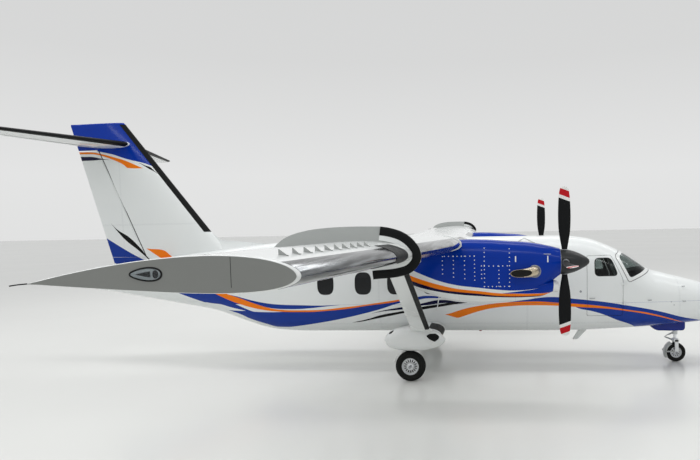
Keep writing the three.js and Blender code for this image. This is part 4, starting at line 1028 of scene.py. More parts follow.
def hinged(stations, foil_of, put, hinge_of, clear, up, down, ends=(0.012, 0.012)):
    """A panel between two stations, its cove, which reaches past both ends, its pin, and the dark seal that lines
    the cove and darkens the hinge gap as painted shade: each as a part."""
    made = [panel_end(foil_of(s), hinge_of(s)) for s in stations]
    panel = stacked([put(ring, s) for (ring, _, _), s in zip(made, stations)])
    span = stations[1] - stations[0]
    reach = [stations[0] - ends[0], stations[1] + ends[1]]
    shares = [(s - stations[0]) / span for s in reach]
    mixed = [[(1 - k) * a + k * b for a, b in zip((hinge_of(stations[0]), *made[0][1:]),
                                                   (hinge_of(stations[1]), *made[1][1:]))] for k in shares]
    cove = stacked([put(cove_end(*m, clear, up, down), s) for m, s in zip(mixed, reach)])
    axis = [put(np.array([[m[0], m[1]]]), s)[0] for m, s in zip(mixed, reach)]
    seal_and_gap_shade = [put(np.vstack([arc((x, middle), radius + clear - back, 90 - up, down - 90, 17)[::turn]
                            for back, turn in ((0.0, 1), (0.0008, -1))]), s)
             for (x, middle, radius), s in zip(mixed, reach)]
    return panel, cove, swept(axis, circle(0.018, 16), (0, 0.3, 1)), stacked(seal_and_gap_shade)


# %% Wing stations
WING_BREAK, WING_TIP = 4.900, 11.010


def wing_foil(y):
    """Lead, trail, thickness, camber and droop at a distance from the centre line: constant chord, then tapered."""
    k = np.clip((abs(y) - WING_BREAK) / (WING_TIP - WING_BREAK), 0, 1)
    return 2.150 - 0.445 * k, 0.0, 0.15 - 0.017 * k, 0.0165, 0.018


def on_wing(side):
    """Puts [x, height] points on the wing at a distance out, along its slight dihedral."""
    return lambda ring, y: standing(ring, side * y, 2.9 + 0.0182 * abs(y))


def wing_slab(ys, side=1):
    return stacked([on_wing(side)(section(wing_foil(y)), y) for y in ys])


def wrapped(side, stations):
    """A strip round the wing's nose through stations: distance out, share above, share below, how proud."""
    return stacked([on_wing(side)(edge_strip(wing_foil(y), top, bottom, proud), y)
                    for y, top, bottom, proud in stations])


FENCE_Y = 8.000
FLAP_SPAN, AILERON_SPAN = (1.0, FENCE_Y - 0.1), (FENCE_Y + 0.1, 10.65)
FLAP_HINGE, AILERON_HINGE = 0.52, 0.43  # ahead of the trailing edge
print("chord at the root", wing_foil(0)[0], "m, at the tip", wing_foil(WING_TIP)[0], "m")

# %% Wing panels, flaps and ailerons
coves = []
for name, side in SIDES:
    put = on_wing(side)
    flap, flap_cove, flap_pin, flap_seal_and_shade = hinged(FLAP_SPAN, wing_foil, put, lambda y: FLAP_HINGE, 0.006, 12, 36)
    aileron, aileron_cove, aileron_pin, aileron_seal_and_shade = hinged(AILERON_SPAN, wing_foil, put, lambda y: AILERON_HINGE,
                                                              0.006, 22, 22)
    # Black liners in the coves: partly seals, partly painted shade that darkens the hinge gaps
    place(f"wing_{name}_cove_seals_and_shade", together(flap_seal_and_shade, aileron_seal_and_shade), black_rubber, slot="deicing_boot")
    coves.append(flap_cove)
    outer = pierced(wing_slab([WING_BREAK + SEAM, WING_TIP - 0.03], side), flap_cove, aileron_cove)
    place(f"wing_outer_{name}_skin", outer, wing_paint, slot="airframe_paint", stands_for=[f"wing_outer_{name}"])
    place(f"flap_{name}_skin", together(flap, flap_pin), wing_paint, f"flap_{name}", "airframe_paint",
          [f"flap_{name}"])
    place(f"aileron_{name}_skin", together(aileron, aileron_pin), wing_paint, f"aileron_{name}", "airframe_paint",
          [f"aileron_{name}"])
place("wing_centre_skin", pierced(wing_slab([-WING_BREAK, 0, WING_BREAK]), *coves), wing_paint,
      slot="airframe_paint", stands_for=["wing_centre"])
print("wing, flaps and ailerons")

# %% [markdown]
# The polished leading edge is a separate sheet wrapped round the wing's nose, so it is one here too: a
# thin strip standing a millimetre proud, with its own edges.

# %% Polished leading edges
RUNS = ((1.00, 2.72), (3.36, 4.899), (4.901, 7.985), (8.015, 10.975))
# Distance out, then the shares of the chord covered above and below: a black boot either side of the fence, partly a
# painted reflection of the fence's boot in the polished edge, and a pale trim
BOOTS_AND_PAINTED_REFLECTION = (((7.85, 0.03, 0.02), (7.982, 0.12, 0.08)),
           ((8.2105, 0.105, 0.060), (8.45, 0.110, 0.035), (8.66, 0.113, 0.010), (8.70, 0.112, 0.004)))
TRIM = ((8.018, 0.120, 0.085), (8.21, 0.105, 0.085))
for name, side in SIDES:
    strips = [wrapped(side, [(y, 0.068, 0.085, 0.0015) for y in run]) for run in RUNS]
    place(f"leading_edge_{name}", together(*strips), polished, slot="gear_metal")
    *boots_and_painted_reflection, trim = [wrapped(side, [(*station, 0.004) for station in run]) for run in (*BOOTS_AND_PAINTED_REFLECTION, TRIM)]
    # Black boots beside the fence, partly painted reflection: they darken the polished edge where the fence's boot
    # shows in it
    place(f"leading_edge_{name}_collars", together(*boots_and_painted_reflection), boot_rubber, slot="deicing_boot")
    place(f"leading_edge_{name}_trim", trim, gear_paint, slot="airframe_paint")

# Vortex generators: small upright triangles in a row ahead of each aileron, toed in and out by turns
VORTEX = {"first": 8.87, "last": 10.68, "count": 10, "back": 0.235, "long": 0.060, "tall": 0.040, "thick": 0.003}


def vortex_plate(y, toe, side):
    lead = wing_foil(y)[0]
    foot = on_wing(side)(surface(wing_foil(y), np.array([VORTEX["back"] / lead])), y)[0]
    blade = prism([[0.03, -0.004], [-0.03, -0.004], [-0.03, VORTEX["tall"]], [-0.024, VORTEX["tall"]]],
                  -VORTEX["thick"] / 2, VORTEX["thick"] / 2)
    base = prism(oblong(0.034, -0.036, -0.004, 0.0025), -0.010, 0.010)
    return moved(turned_about(together(blade, base), "z", toe), foot)


for name, side in SIDES:
    ys = np.linspace(VORTEX["first"], VORTEX["last"], VORTEX["count"])
    plates = [vortex_plate(y, 14 if i % 2 else -14, side) for i, y in enumerate(ys)]
    place(f"vortex_generators_{name}", together(*plates), tip_paint, slot="grey_paint")
print("polished edges and", 2 * VORTEX["count"], "vortex generators")

# %% [markdown]
# A stall fence stands on each wing. It is a thin plate that starts under the leading edge and runs back
# over the top, and its front carries a black rubber boot, thick and round nosed, in a U. The boot is one
# rounded section carried along the fence's edge.

# %% Fences
FENCE = MM * np.array([[397, 3150], [470, 3215], [570, 3270], [760, 3322], [976, 3348], [1280, 3358], [1582, 3353],
                       [1690, 3336], [1838, 3283], [1952, 3194], [2022, 3078], [2016, 2968], [1920, 2856],
                       [1800, 2812], [1492, 2781], [1480, 3060]])
BOOT_EDGE = MM * np.array([[1588, 3353], [1690, 3336], [1838, 3283], [1948, 3194], [2016, 3078], [2011, 2968],
                           [1920, 2859], [1800, 2814], [1496, 2783]])


def rounded_bar(width, thick, count=20, power=2.6):
    """A flat rounded section |x / a| ** n + |y / b| ** n = 1."""
    angle = around(count)
    c, s = np.cos(angle), np.sin(angle)
    return np.stack([width / 2 * np.sign(c) * np.abs(c) ** (2 / power),
                     thick / 2 * np.sign(s) * np.abs(s) ** (2 / power)], -1)


def through(points, steps):
    """A smooth curve through points, by the same cubic as the body, at even steps of the way along them."""
    p = np.asarray(points, float)
    along = np.concatenate([[0], np.cumsum(np.linalg.norm(np.diff(p, axis=0), axis=1))])
    return smooth(np.column_stack([along, p]), np.linspace(0, along[-1], steps))


BAND = 0.100
edge_line = through(BOOT_EDGE, 60)
ahead = np.gradient(edge_line, axis=0)
inward = np.stack([ahead[:, 1], -ahead[:, 0]], -1) / np.linalg.norm(ahead, axis=1)[:, None]
core = edge_line + inward * BAND / 2
for name, side in SIDES:
    plate = prism(np.vstack([through(FENCE[:7], 26), FENCE[7:]]), side * FENCE_Y - 0.006, side * FENCE_Y + 0.006)
    place(f"fence_{name}_plate", plate, tip_paint, slot="grey_paint", stands_for=[f"wing_fence_{name}"], bevel=0.003)
    lip = np.vstack([edge_line + inward * 0.085, (edge_line + inward * 0.150)[::-1]])
    place(f"fence_{name}_nose_plate", prism(lip, side * FENCE_Y - 0.009, side * FENCE_Y + 0.009), gear_paint,
          slot="gear_metal")
    boot = swept(standing(core, side * FENCE_Y), rounded_bar(BAND, 0.036), (0, 1, 0))
    place(f"fence_{name}_boot", boot, boot_rubber, slot="deicing_boot")
print("two fences")

# %% Wing tips
# The tip is a pale rounded rim and a grey end face, with a lamp under a long egg-shaped lens: a bright
# reflector with a dark round bulb in front and a dark wedge behind it. The face stops short of the rim's
# nose, where the pale edge is widest
TIP_LAMP = {"x": 0.770, "z": 3.121, "long": 0.200, "tall": 0.076}
LAMP_PARTS = (circle(1, 24) * [0.018, 0.025] + [0.063, 0.0],
              np.array([[-0.062, 0.0], [-0.010, -0.012], [0.031, -0.018], [0.031, 0.018], [-0.010, 0.012]]))
WICK = ((-0.004, 3.070), (-0.060, 3.066), (-0.121, 3.058))
ROUND = 0.020
FACE = 0.008


def face_ring(side, back):
    ring = on_wing(side)(section(wing_foil(WING_TIP), -0.005), WING_TIP - back)
    share = np.clip((ring[:, 0] - 1.45) / 0.55, 0, 1)
    ring[:, 0] -= 0.026 * share * share * (3 - 2 * share)
    return ring


for name, side in SIDES:
    rim = [on_wing(side)(section(wing_foil(WING_TIP), ROUND * (math.cos(a) - 1) * 0.8),
                         WING_TIP - FACE - ROUND * (1 - math.sin(a))) for a in np.linspace(0, np.pi / 2, 7)]
    root = on_wing(side)(section(wing_foil(WING_TIP - 0.03)), WING_TIP - 0.0297)
    place(f"wing_tip_{name}_rim", stacked([root, *rim]), gear_paint, slot="airframe_paint",
          stands_for=[f"wing_tip_{name}"], crease=50)
    face = [face_ring(side, back) for back in (FACE + 0.004, FACE - 0.0015)]
    place(f"wing_tip_{name}_face", stacked(face), face_paint, slot="grey_paint")
    y = side * WING_TIP
    egg = circle(1, 48)
    egg[:, 1] *= 0.97 + 0.3 * egg[:, 0]
    oval = egg * [TIP_LAMP["long"] / 2, TIP_LAMP["tall"] / 2] + [TIP_LAMP["x"], TIP_LAMP["z"]]
    ring = standing(oval, y - side * 0.006)
    place(f"tip_lamp_{name}_seal", swept(ring, circle(0.006, 8, 0.6), (0, 1, 0), closed=True), black_rubber,
          slot="deicing_boot")
    lens = [ring * [1, 0, 1] + [0, y - side * back, 0] for back in (0.012, 0.0062)]
    centre = np.array([TIP_LAMP["x"], y, TIP_LAMP["z"]])
    domes = [centre + (ring - centre) * [k, 0, k] - [0, side * back, 0]
             for k, back in ((0.97, 0.0035), (0.85, 0.0018), (0.5, 0.0006), (0.2, 0.0002))]
    place(f"tip_lamp_{name}_lens", loft(np.stack([*lens, *domes])), lamp_glass, slot="glazing")
    plate = [centre + (ring - centre) * [0.93, 0, 0.93] - [0, side * back, 0] for back in (0.0056, 0.0046)]
    place(f"tip_lamp_{name}_reflector", loft(np.stack(plate)), gear_paint, slot="gear_metal")
    bulbs = [prism(outline + [TIP_LAMP["x"], TIP_LAMP["z"]], y - side * 0.0047, y - side * 0.0030)
             for outline in LAMP_PARTS]
    place(f"tip_lamp_{name}_bulbs", together(*bulbs), dark_acrylic, slot="glazing")
    wick = swept([[x, y - side * 0.02, z] for x, z in WICK], circle(0.004, 8))
    place(f"static_wick_{name}", wick, black_rubber, slot="deicing_boot")
    seam = prism(oblong(1.2935, 1.2965, 3.036, 3.219), y - side * 0.0090, y - side * 0.0060)
    place(f"wing_tip_{name}_seam", seam, black_rubber, slot="deicing_boot")
print("wing tips")

# %% [markdown]
# ## Engines
# Each nacelle is one rounded cowling that tapers over the wing's back, with a deep chin that holds the
# air intake. The chin's mouth is a real hole with a pale rounded lip, and the cowling is open in front,
# round the propeller shaft. Rows of small fasteners ring its panels.

# %% Nacelles
NACELLE = MM * np.array([
    # x, top, bottom, half width, power x 1000
    [640, 2880, 2640, 170, 2200],
    [850, 2920, 2400, 240, 2300],
    [1213, 2960, 2150, 300, 2400],
    [1868, 3010, 1906, 355, 2500],
    [2150, 3040, 1867, 368, 2600],
    [2621, 3030, 1847, 370, 2600],
    [3000, 3000, 1880, 365, 2600],
    [3464, 2960, 2030, 345, 2500],
    [3800, 2890, 2220, 295, 2300],
    [3960, 2848, 2340, 252, 2000],
])
INTAKE = MM * np.array([
    [2700, 2200, 1850, 260, 2600],
    [3184, 2240, 1873, 270, 2600],
    [3464, 2256, 1907, 258, 2600],
    [3600, 2260, 1945, 240, 2600],
    [3845, 2262, 2043, 190, 2600],
])
ENGINE_Y = SHAFT_Y


def chin(x0, x1, inset=0.0, count=64):
    return body_rings(INTAKE, np.linspace(x0, x1, int((x1 - x0) / 0.04) + 2), inset, -ENGINE_Y, count)


def cowl_side(x, z, proud=0.0, sign=-1):
    """The point of the right cowling's side at each x and z: outboard where sign is -1."""
    return side_point(NACELLE, x, z, sign, proud, -ENGINE_Y)


cowl = body_rings(NACELLE, np.linspace(0.640, 3.960, 84), 0.0, -ENGINE_Y)
mouth = chin(3.58, 3.90, 0.016)
throat = lathe(rod(0.19, 3.70, 4.1), "x", (0, -ENGINE_Y, SHAFT_Z), 48)
bay = lathe(rod(0.235, 2.4, 3.72), "x", (0, -ENGINE_Y, SHAFT_Z), 48)
nacelle = carved(loft(cowl), ("UNION", loft(chin(2.70, 3.845))), ("DIFFERENCE", bay), ("DIFFERENCE", throat),
                 ("DIFFERENCE", loft(mouth)))
LIP = MM * np.array([
    # x, top, bottom, half width, power x 1000
    [3820, 2262, 2038, 191, 2600],
    [3880, 2252, 2036, 190, 2600],
    [3930, 2228, 2034, 187, 2600],
    [3940, 2219, 2040, 181, 2600],
])
lip_steps = [3.835, 3.86, 3.89, 3.92, 3.932, 3.938]
lip_outside = body_rings(LIP, lip_steps, 0.0, -ENGINE_Y, 64)
lip_inside = body_rings(LIP, lip_steps[::-1], 0.016, -ENGINE_Y, 64)
lip = loft(np.concatenate([lip_outside, lip_inside]), "joined")
# A near black plug at the back of the chin's mouth: painted shade inside the intake
back = loft(chin(3.575, 3.60, 0.014))
collar = body_rings(NACELLE, [3.958], 0.012, -ENGINE_Y)[0]
front_ring = swept(collar, rounded_bar(0.022, 0.03, 14, 2.0), (1, 0, 0), closed=True)
for name, side in SIDES:
    mesh = nacelle if side < 0 else nacelle.copy()
    if side > 0:
        mesh.transform(Matrix.Diagonal((1, -1, 1, 1)))
        mesh.flip_normals()
    place(f"nacelle_{name}_skin", mesh, nacelle_paint, slot="blue_paint", stands_for=[f"nacelle_{name}"])
pair("intake_*_lip", lip, gear_paint, "airframe_paint")
pair("intake_*_duct", back, soot, "cockpit_trim")
pair("nacelle_*_front_ring", front_ring, nacelle_paint, "blue_paint")
print("nacelles", len(nacelle.vertices), "points each")

# %% Engine bodies
# Only the gearbox and its ring of bolts show, in the gap behind the spinner
casing = lathe([[0, 2.41], [0.2, 2.41], [0.215, 2.44], [0.215, 3.56], [0.205, 3.60], [0.15, 3.64], [0.14, 3.66],
                [0.14, 3.79], [0.165, 3.80], [0.165, 3.82], [0.14, 3.83], [0.135, 3.875], [0.10, 3.88], [0, 3.88]],
               "x", (0, -ENGINE_Y, SHAFT_Z), 48)
spots = arc((0, 0), 0.152, 0, 345, 24)
bolts = [lathe([[0, 3.79], [0.008, 3.79], [0.008, 3.832], [0.005, 3.836], [0, 3.836]], "x",
               (0, -ENGINE_Y + y, SHAFT_Z + z), 8) for y, z in spots]
pair("engine_*_casing", together(casing, *bolts), plated_steel, "gear_metal", "engine_*")

# Fasteners in rings and rows over the cowling's side: small pale discs, proud by a millimetre
DOT_COLUMNS = MM * np.array([
    # x, lowest z, highest z, spacing
    [1808, 2420, 2740, 80],
    [2012, 2360, 2740, 76],
    [2217, 2330, 2740, 82],
    [2400, 2300, 2740, 73],
    [2527, 2330, 2560, 77],
    [2579, 2180, 2880, 78],
    [2843, 2178, 2549, 74],
    [3036, 2178, 2860, 76],
])
DOT_ROWS = MM * np.array([
    # z, rear x, front x, spacing
    [2741, 1845, 2393, 78],
    [2555, 2579, 2996, 83],
    [2178, 2573, 3018, 74],
])


def spaced(first, last, gap):
    return np.linspace(first, last, int(round((last - first) / gap)) + 1)


def discs(centres, outward_to, radius=0.0115, tall=0.0018, count=8):
    """One low disc on the surface at each centre, facing along its own outward vector: every disc is the same ring of
    points turned into that plane, and all are worked out as one array."""
    n = outward_to / np.linalg.norm(outward_to, axis=1)[:, None]
    a = np.cross(n, [0.0, 0.0, 1.0])
    a /= np.linalg.norm(a, axis=1)[:, None]
    b = np.cross(n, a)
    ring = circle(radius, count)
    flat = a[:, None] * ring[None, :, :1] + b[:, None] * ring[None, :, 1:]
    low, high = centres[:, None] + flat - n[:, None] * tall, centres[:, None] + flat * 0.8 + n[:, None] * tall
    total = len(centres)
    points = np.concatenate([low, high], axis=1).reshape(-1, 3)
    start = np.arange(total)[:, None] * 2 * count
    i = np.arange(count)[None]
    j = (i + 1) % count
    sides = np.stack([start + i, start + j, start + j + count, start + i + count], -1).reshape(-1, 4)
    return outward(points, [sides, (start + i)[:, ::-1], start + i + count])


dot_x = np.concatenate([np.full(len(spaced(*c[1:])), c[0]) for c in DOT_COLUMNS] + [spaced(*r[1:]) for r in DOT_ROWS])
dot_z = np.concatenate([spaced(*c[1:]) for c in DOT_COLUMNS] + [np.full(len(spaced(*r[1:])), r[0]) for r in DOT_ROWS])
both = []
for sign in (-1, 1):
    centre = cowl_side(dot_x, dot_z, 0.0, sign)
    both.append(discs(centre, np.stack([0 * dot_x, np.full(len(dot_x), float(sign)), (dot_z - 2.45) * 0.25], -1)))
# Three pale latches on the forward cowling, which also stand for the lamps' glints there: painted highlights
latches_and_painted_glints = [swept(cowl_side(np.linspace(x0, x1, 8), np.linspace(z0, z1, 8), 0.002), rounded_bar(0.022, 0.008, 12))
           for x0, x1, z0, z1 in ((3.148, 3.148, 2.623, 2.727), (3.658, 3.790, 2.757, 2.752),
                                  (3.731, 3.731, 2.608, 2.722))]
pair("nacelle_*_latches", together(*latches_and_painted_glints), gear_paint, "gear_metal")
pair("nacelle_*_fasteners", together(*both), gear_paint, "gear_metal")
print(2 * len(dot_x), "fasteners on each nacelle")

# %% [markdown]
# The exhaust stack is an oval pipe that leaves the cowling's side and bends aft, a little flattened. It
# is a ring of points carried along a bend, outside and then inside, so the pipe's wall and its dark bore
# are one skin.

# %% Exhaust stacks
STACK_Z = 2.425
STACK = MM * np.array([
    # distance round the bend as its row, then x, distance outboard, half height, half width, aim x 1000, rise
    [0, 3505, 270, 103, 96, 0, 22],
    [1000, 3490, 345, 101, 94, 150, 22],
    [2000, 3445, 405, 95, 88, 480, 18],
    [3000, 3360, 455, 84, 77, 950, 8],
    [4000, 3240, 487, 74, 67, 1330, 0],
    [5000, 3135, 500, 69, 61, 1470, -4],
    [6000, 3048, 508, 67, 58, 1500, -5],
])
OUTER_END = 2.75


def stack_rings(rows, inset, count=40):
    """Oval rings whose plane turns with the bend: across lies along (cos aim, -sin aim) in plan. The outboard side of
    the pipe stops short of the inboard side, so that its mouth is a long slanting oval that faces out and aft."""
    angle = around(count)
    reach = OUTER_END + (6 - OUTER_END) * (1 - np.cos(angle)) / 2
    place_on = np.asarray(rows)[:, None] / 6 * reach[None]
    x, out, tall, deep, aim, rise = np.moveaxis(smooth(STACK, place_on.ravel()).reshape(*place_on.shape, 6), -1, 0)
    across = (deep - inset) * np.cos(angle)
    return np.stack([x + across * np.cos(aim), -ENGINE_Y - out - across * np.sin(aim),
                     STACK_Z + rise + (tall - inset) * np.sin(angle)], -1)


outside, inside = np.linspace(0, 6, 40), np.linspace(6, 1.6, 24)
stack = loft(np.concatenate([stack_rings(outside, 0.0), stack_rings([6.0], 0.005), stack_rings(inside[1:], 0.006)]))
bore = loft(stack_rings(np.linspace(5.8, 1.62, 22), 0.0075))
flange = swept(stack_rings([1.3], -0.004)[0], rounded_bar(0.024, 0.012, 12), (0, 1, 0), closed=True)
pair("exhaust_*_stack", stack, exhaust_steel, "exhaust_metal", "exhaust_*")
pair("exhaust_*_soot", bore, soot, "exhaust_metal")
pair("exhaust_*_flange", flange, plated_steel, "exhaust_metal")
print("exhaust stacks")

# %% [markdown]
# A propeller blade is lofted from its sections: round at the shank, wide and thin further out, twisted
# along the way and rounded at the tip. Feathered, it stands edge on to the airflow, so its broad face
# shows from the side. Four of them stand in a cross round a pointed spinner.

# %% Propellers
PROP_RADIUS = 1.395
BLADE = MM * np.array([
    # radius, chord, thickness, twist x 1000
    [90, 96, 90, 0],
    [250, 104, 84, -6000],
    [380, 150, 52, -14000],
    [560, 205, 36, -10000],
    [780, 228, 27, -4000],
    [1000, 226, 21, 2000],
    [1250, 196, 14, 7000],
    [1340, 160, 10, 8200],
    [1395, 80, 7, 9000],
])


def blade_rings(count=40):
    """Sections across the radius: an ellipse whose rear half is thinned, turned by its twist."""
    radius = np.concatenate([np.linspace(0.09, 1.33, 50), 1.33 + 0.065 * np.sin(np.linspace(0.1, np.pi / 2, 12))])
    chord, thick, twist = smooth(BLADE, radius).T[:, :, None]
    tip_share = np.clip((radius[:, None] - 1.33) / 0.0652, 0, 1)
    chord = np.where(radius[:, None] > 1.33, 0.166 * np.sqrt(1 - tip_share ** 2) + 0.002, chord)
    angle = around(count)
    along = chord / 2 * np.cos(angle)
    across = thick / 2 * np.sin(angle) * (1 - 0.3 * np.cos(angle) * np.clip((radius[:, None] - 0.2) * 4, 0, 1))
    aim = np.radians(twist)
    return np.stack([along * np.cos(aim) - across * np.sin(aim), along * np.sin(aim) + across * np.cos(aim),
                     radius[:, None] + 0 * along], -1)


blade = loft(blade_rings())
hub = lathe([[0, -0.183], [0.06, -0.183], [0.06, -0.095], [0.226, -0.095], [0.229, -0.092], [0.229, -0.081],
             [0.226, -0.078], [0.118, -0.078], [0.118, 0.12], [0, 0.12]], "x")
cuff = lathe([[0, 0.1], [0.064, 0.1], [0.064, 0.225], [0.058, 0.232], [0, 0.232]], "z", count=32)
SPINNER = MM * np.array([
    # distance ahead of the base, radius
    [0, 235],
    [70, 232.5],
    [130, 225.6],
    [270, 188],
    [410, 122],
    [505, 56],
    [525, 32],
    [534, 0],
])
base = -0.0787
ahead = np.concatenate([np.linspace(0, 0.50, 36), np.linspace(0.505, 0.5335, 10)])
spun = smooth(SPINNER, ahead)[:, 0]
spinner_part = lathe(np.vstack([[0, base], np.column_stack([np.maximum(spun, 0.004), base + ahead]),
                                [0, base + 0.534]]), "x", count=96)


def crossed(part):
    """The part four times, a quarter turn apart about the shaft."""
    return [turned_about(part, "x", degrees) for degrees in (0, 90, 180, 270)]


for name, side in SIDES:
    at = np.array([BLADE_X, side * ENGINE_Y, SHAFT_Z])
    body = f"propeller_{name}"
    place(f"propeller_{name}_blades", moved(together(*crossed(blade)), at), blade_composite, body,
          "propeller_blade", [f"propeller_{name}"])
    place(f"propeller_{name}_hub", moved(together(hub, *crossed(cuff)), at), plated_steel, body, "gear_metal")
    cap = pierced(spinner_part, *crossed(lathe(rod(0.070, 0.15, 0.4), "z", count=32)))
    cap.transform(Matrix.Translation(at.tolist()))
    place(f"spinner_{name}_cap", cap, spinner_paint, body, "spinner_shell", [f"spinner_{name}"])
print("two propellers of radius", PROP_RADIUS, "m")

# %% [markdown]
# ## Landing gear
# The main wheels hang on short cranked legs under two teardrop pods, on a stub wing low on the body.
# A long strut runs from each pod up to the wing. The pods are stacks of rounded sections like the
# fuselage, and the stub and strut are the wing's aerofoil again, thicker.

# %% Pods, stubs and struts
POD = MM * np.array([
    # x, top, bottom, half width, power x 1000
    [400, 930, 850, 60, 2000],
    [450, 1010, 770, 130, 2100],
    [600, 1110, 690, 200, 2300],
    [900, 1165, 655, 235, 2400],
    [1200, 1150, 665, 230, 2400],
    [1480, 1070, 720, 185, 2300],
    [1630, 990, 790, 120, 2100],
    [1690, 920, 860, 50, 2000],
])
POD_Y = 1.870  # the middle of the pod and of its wheel
STUB = (1.600, 0.470, 0.28, 0.0, 0.0)
STRUT = (((1.392, 1.000, 0.24, 0.0, 0.0), 1.850, 1.020), ((1.370, 1.045, 0.24, 0.0, 0.0), 5.220, 2.840))


def on_stub(ring, y):
    return standing(ring, -y, 0.930)


LEAN_OUT, LEAN_UP = 0.47, 0.88  # the strut stands 28 degrees off level, and its sections lie across it


def on_strut(ring, y, z):
    return np.stack([ring[:, 0], -y - LEAN_OUT * ring[:, 1], z + LEAN_UP * ring[:, 1]], -1)


pod_rings = body_rings(POD, 0.400 + 1.290 * (1 - np.cos(np.linspace(0, np.pi, 44))) / 2, 0.0, -POD_Y, 64)
pod = loft(pod_rings, "fan", pod_rings[[0, -1]].mean(1) + [[-0.003, 0, 0], [0.003, 0, 0]])
stub = stacked([on_stub(section(STUB), y) for y in (0.80, POD_Y)])
stub_boot = stacked([on_stub(edge_strip(STUB, 0.26, 0.20, 0.004), y) for y in (0.99, 1.66)])
foot, head = STRUT
strut = stacked([on_strut(section(foil), y, z) for foil, y, z in STRUT])


def strut_at(k, ring_of):
    """The strut's ring a share k of the way up."""
    foil = tuple(a + k * (b - a) for a, b in zip(foot[0], head[0]))
    return on_strut(ring_of(foil), foot[1] + k * (head[1] - foot[1]), foot[2] + k * (head[2] - foot[2]))


strut_boot = stacked([strut_at(k, lambda foil: edge_strip(foil, 0.42, 0.24, 0.004)) for k in (0.085, 0.93)])
cuffs = [stacked([strut_at(k, lambda foil: section(foil, grow)) for k, grow in steps]) for steps in (
    ((-0.02, 0.060), (0.03, 0.045), (0.06, 0.020), (0.085, 0.006), (0.10, 0.002)),
    ((0.925, 0.002), (0.945, 0.012), (0.965, 0.030), (0.99, 0.050)))]
jack = lathe([[0, 0.760], [0.030, 0.760], [0.035, 0.765], [0.035, 0.830], [0, 0.830]], "z", (1.2, -1.3, 0), 24)


def pod_side(x, z, side, proud=0.0):
    return side_point(POD, x, z, side, proud, side * POD_Y)


# A rubber patch guards the pod below the strut's boot, and a dark vent slants across its tail
PATCH = MM * np.array([[1308, 1006], [1385, 1044], [1504, 1037], [1582, 981], [1572, 932], [1487, 874], [1372, 935]])
VENT = MM * np.array([[506, 1022], [506, 1052], [588, 1098], [612, 1098], [573, 1050]])
for name, side in SIDES:
    patches = [pane(rounded(outline, 0.02), side, -0.004, 0.010, (20, 10), pod_side) for outline in (PATCH, VENT)]
    place(f"gear_pod_{name}_patches", together(*patches), boot_rubber, slot="deicing_boot")
pair("gear_pod_*_body", together(pod, stub), gear_paint, "airframe_paint", "gear_pod_*")
pair("stub_*_boot", stub_boot, boot_rubber, "deicing_boot")
pair("wing_strut_*_skin", strut, gear_paint, "airframe_paint", "wing_strut_*")
pair("wing_strut_*_boot", strut_boot, boot_rubber, "deicing_boot")
pair("wing_strut_*_cuffs", together(*cuffs), gear_paint, "airframe_paint")
pair("jack_pad_*", jack, plated_steel, "gear_metal")
print("pods, stubs and struts")

# %% Main legs
LEG_Y = 1.690
WHEEL_X, WHEEL_Z = 0.942, 0.321
crank = rounded(MM * np.array([[745, 720], [975, 720], [1040, 500], [1015, 270], [935, 245], [862, 290], [872, 480]]),
                0.03)
leg = prism(crank, -LEG_Y - 0.045, -LEG_Y + 0.045)
axle = lathe(rod(0.030, -0.185, 0.150), "y", (WHEEL_X, -LEG_Y - 0.15, WHEEL_Z), 32)
oleo = swept([[0.905, -LEG_Y + 0.075, 0.30], [0.800, -LEG_Y + 0.075, 0.70]], circle(0.034, 24), (0, 1, 0))
sleeve = swept([[0.862, -LEG_Y + 0.075, 0.465], [0.800, -LEG_Y + 0.075, 0.70]], circle(0.050, 24), (0, 1, 0))
caliper = lathe([[0.055, -0.05], [0.125, -0.05], [0.135, -0.04], [0.135, -0.012], [0.125, -0.002],
                 [0.055, -0.002]], "y", (WHEEL_X, -LEG_Y - 0.045, WHEEL_Z), 40)
hose = swept(through([[0.86, -LEG_Y - 0.050, 0.66], [0.835, -LEG_Y - 0.055, 0.58], [0.850, -LEG_Y - 0.052, 0.50],
                      [0.885, -LEG_Y - 0.060, 0.43], [0.900, -LEG_Y - 0.070, 0.40]], 24), circle(0.007, 10), (0, 1, 0))
guard_arc = arc((WHEEL_X, WHEEL_Z), 0.350, 100, 166, 16)
splash = swept(standing(guard_arc, -POD_Y + 0.02), rounded_bar(0.010, 0.150), (0, 1, 0))
guard_stay = swept([[0.80, -LEG_Y - 0.02, 0.56], [0.735, -LEG_Y - 0.09, 0.60], [0.72, -LEG_Y - 0.12, 0.585]],
                   circle(0.010, 12), (0, 0, 1))
pair("main_leg_*_crank", leg, gear_paint, "gear_metal", "main_leg_*", bevel=0.012)
pair("main_leg_*_axle", together(axle, sleeve), plated_steel, "gear_metal")
pair("main_leg_*_oleo", oleo, hard_chrome, "gear_metal")
pair("main_leg_*_brake", caliper, plated_steel, "gear_metal")
pair("main_leg_*_guard", together(splash, guard_stay), gear_paint, "gear_metal")
pair("main_leg_*_hose", hose, black_rubber, "gear_metal")
print("main legs")

# %% [markdown]
# A wheel is a profile turned about its axle: a tyre with round shoulders and running grooves, and a rim
# with a dished face. The rim's ring of slots is cut through it, and a bright hub cap and bolts stand in
# the middle.

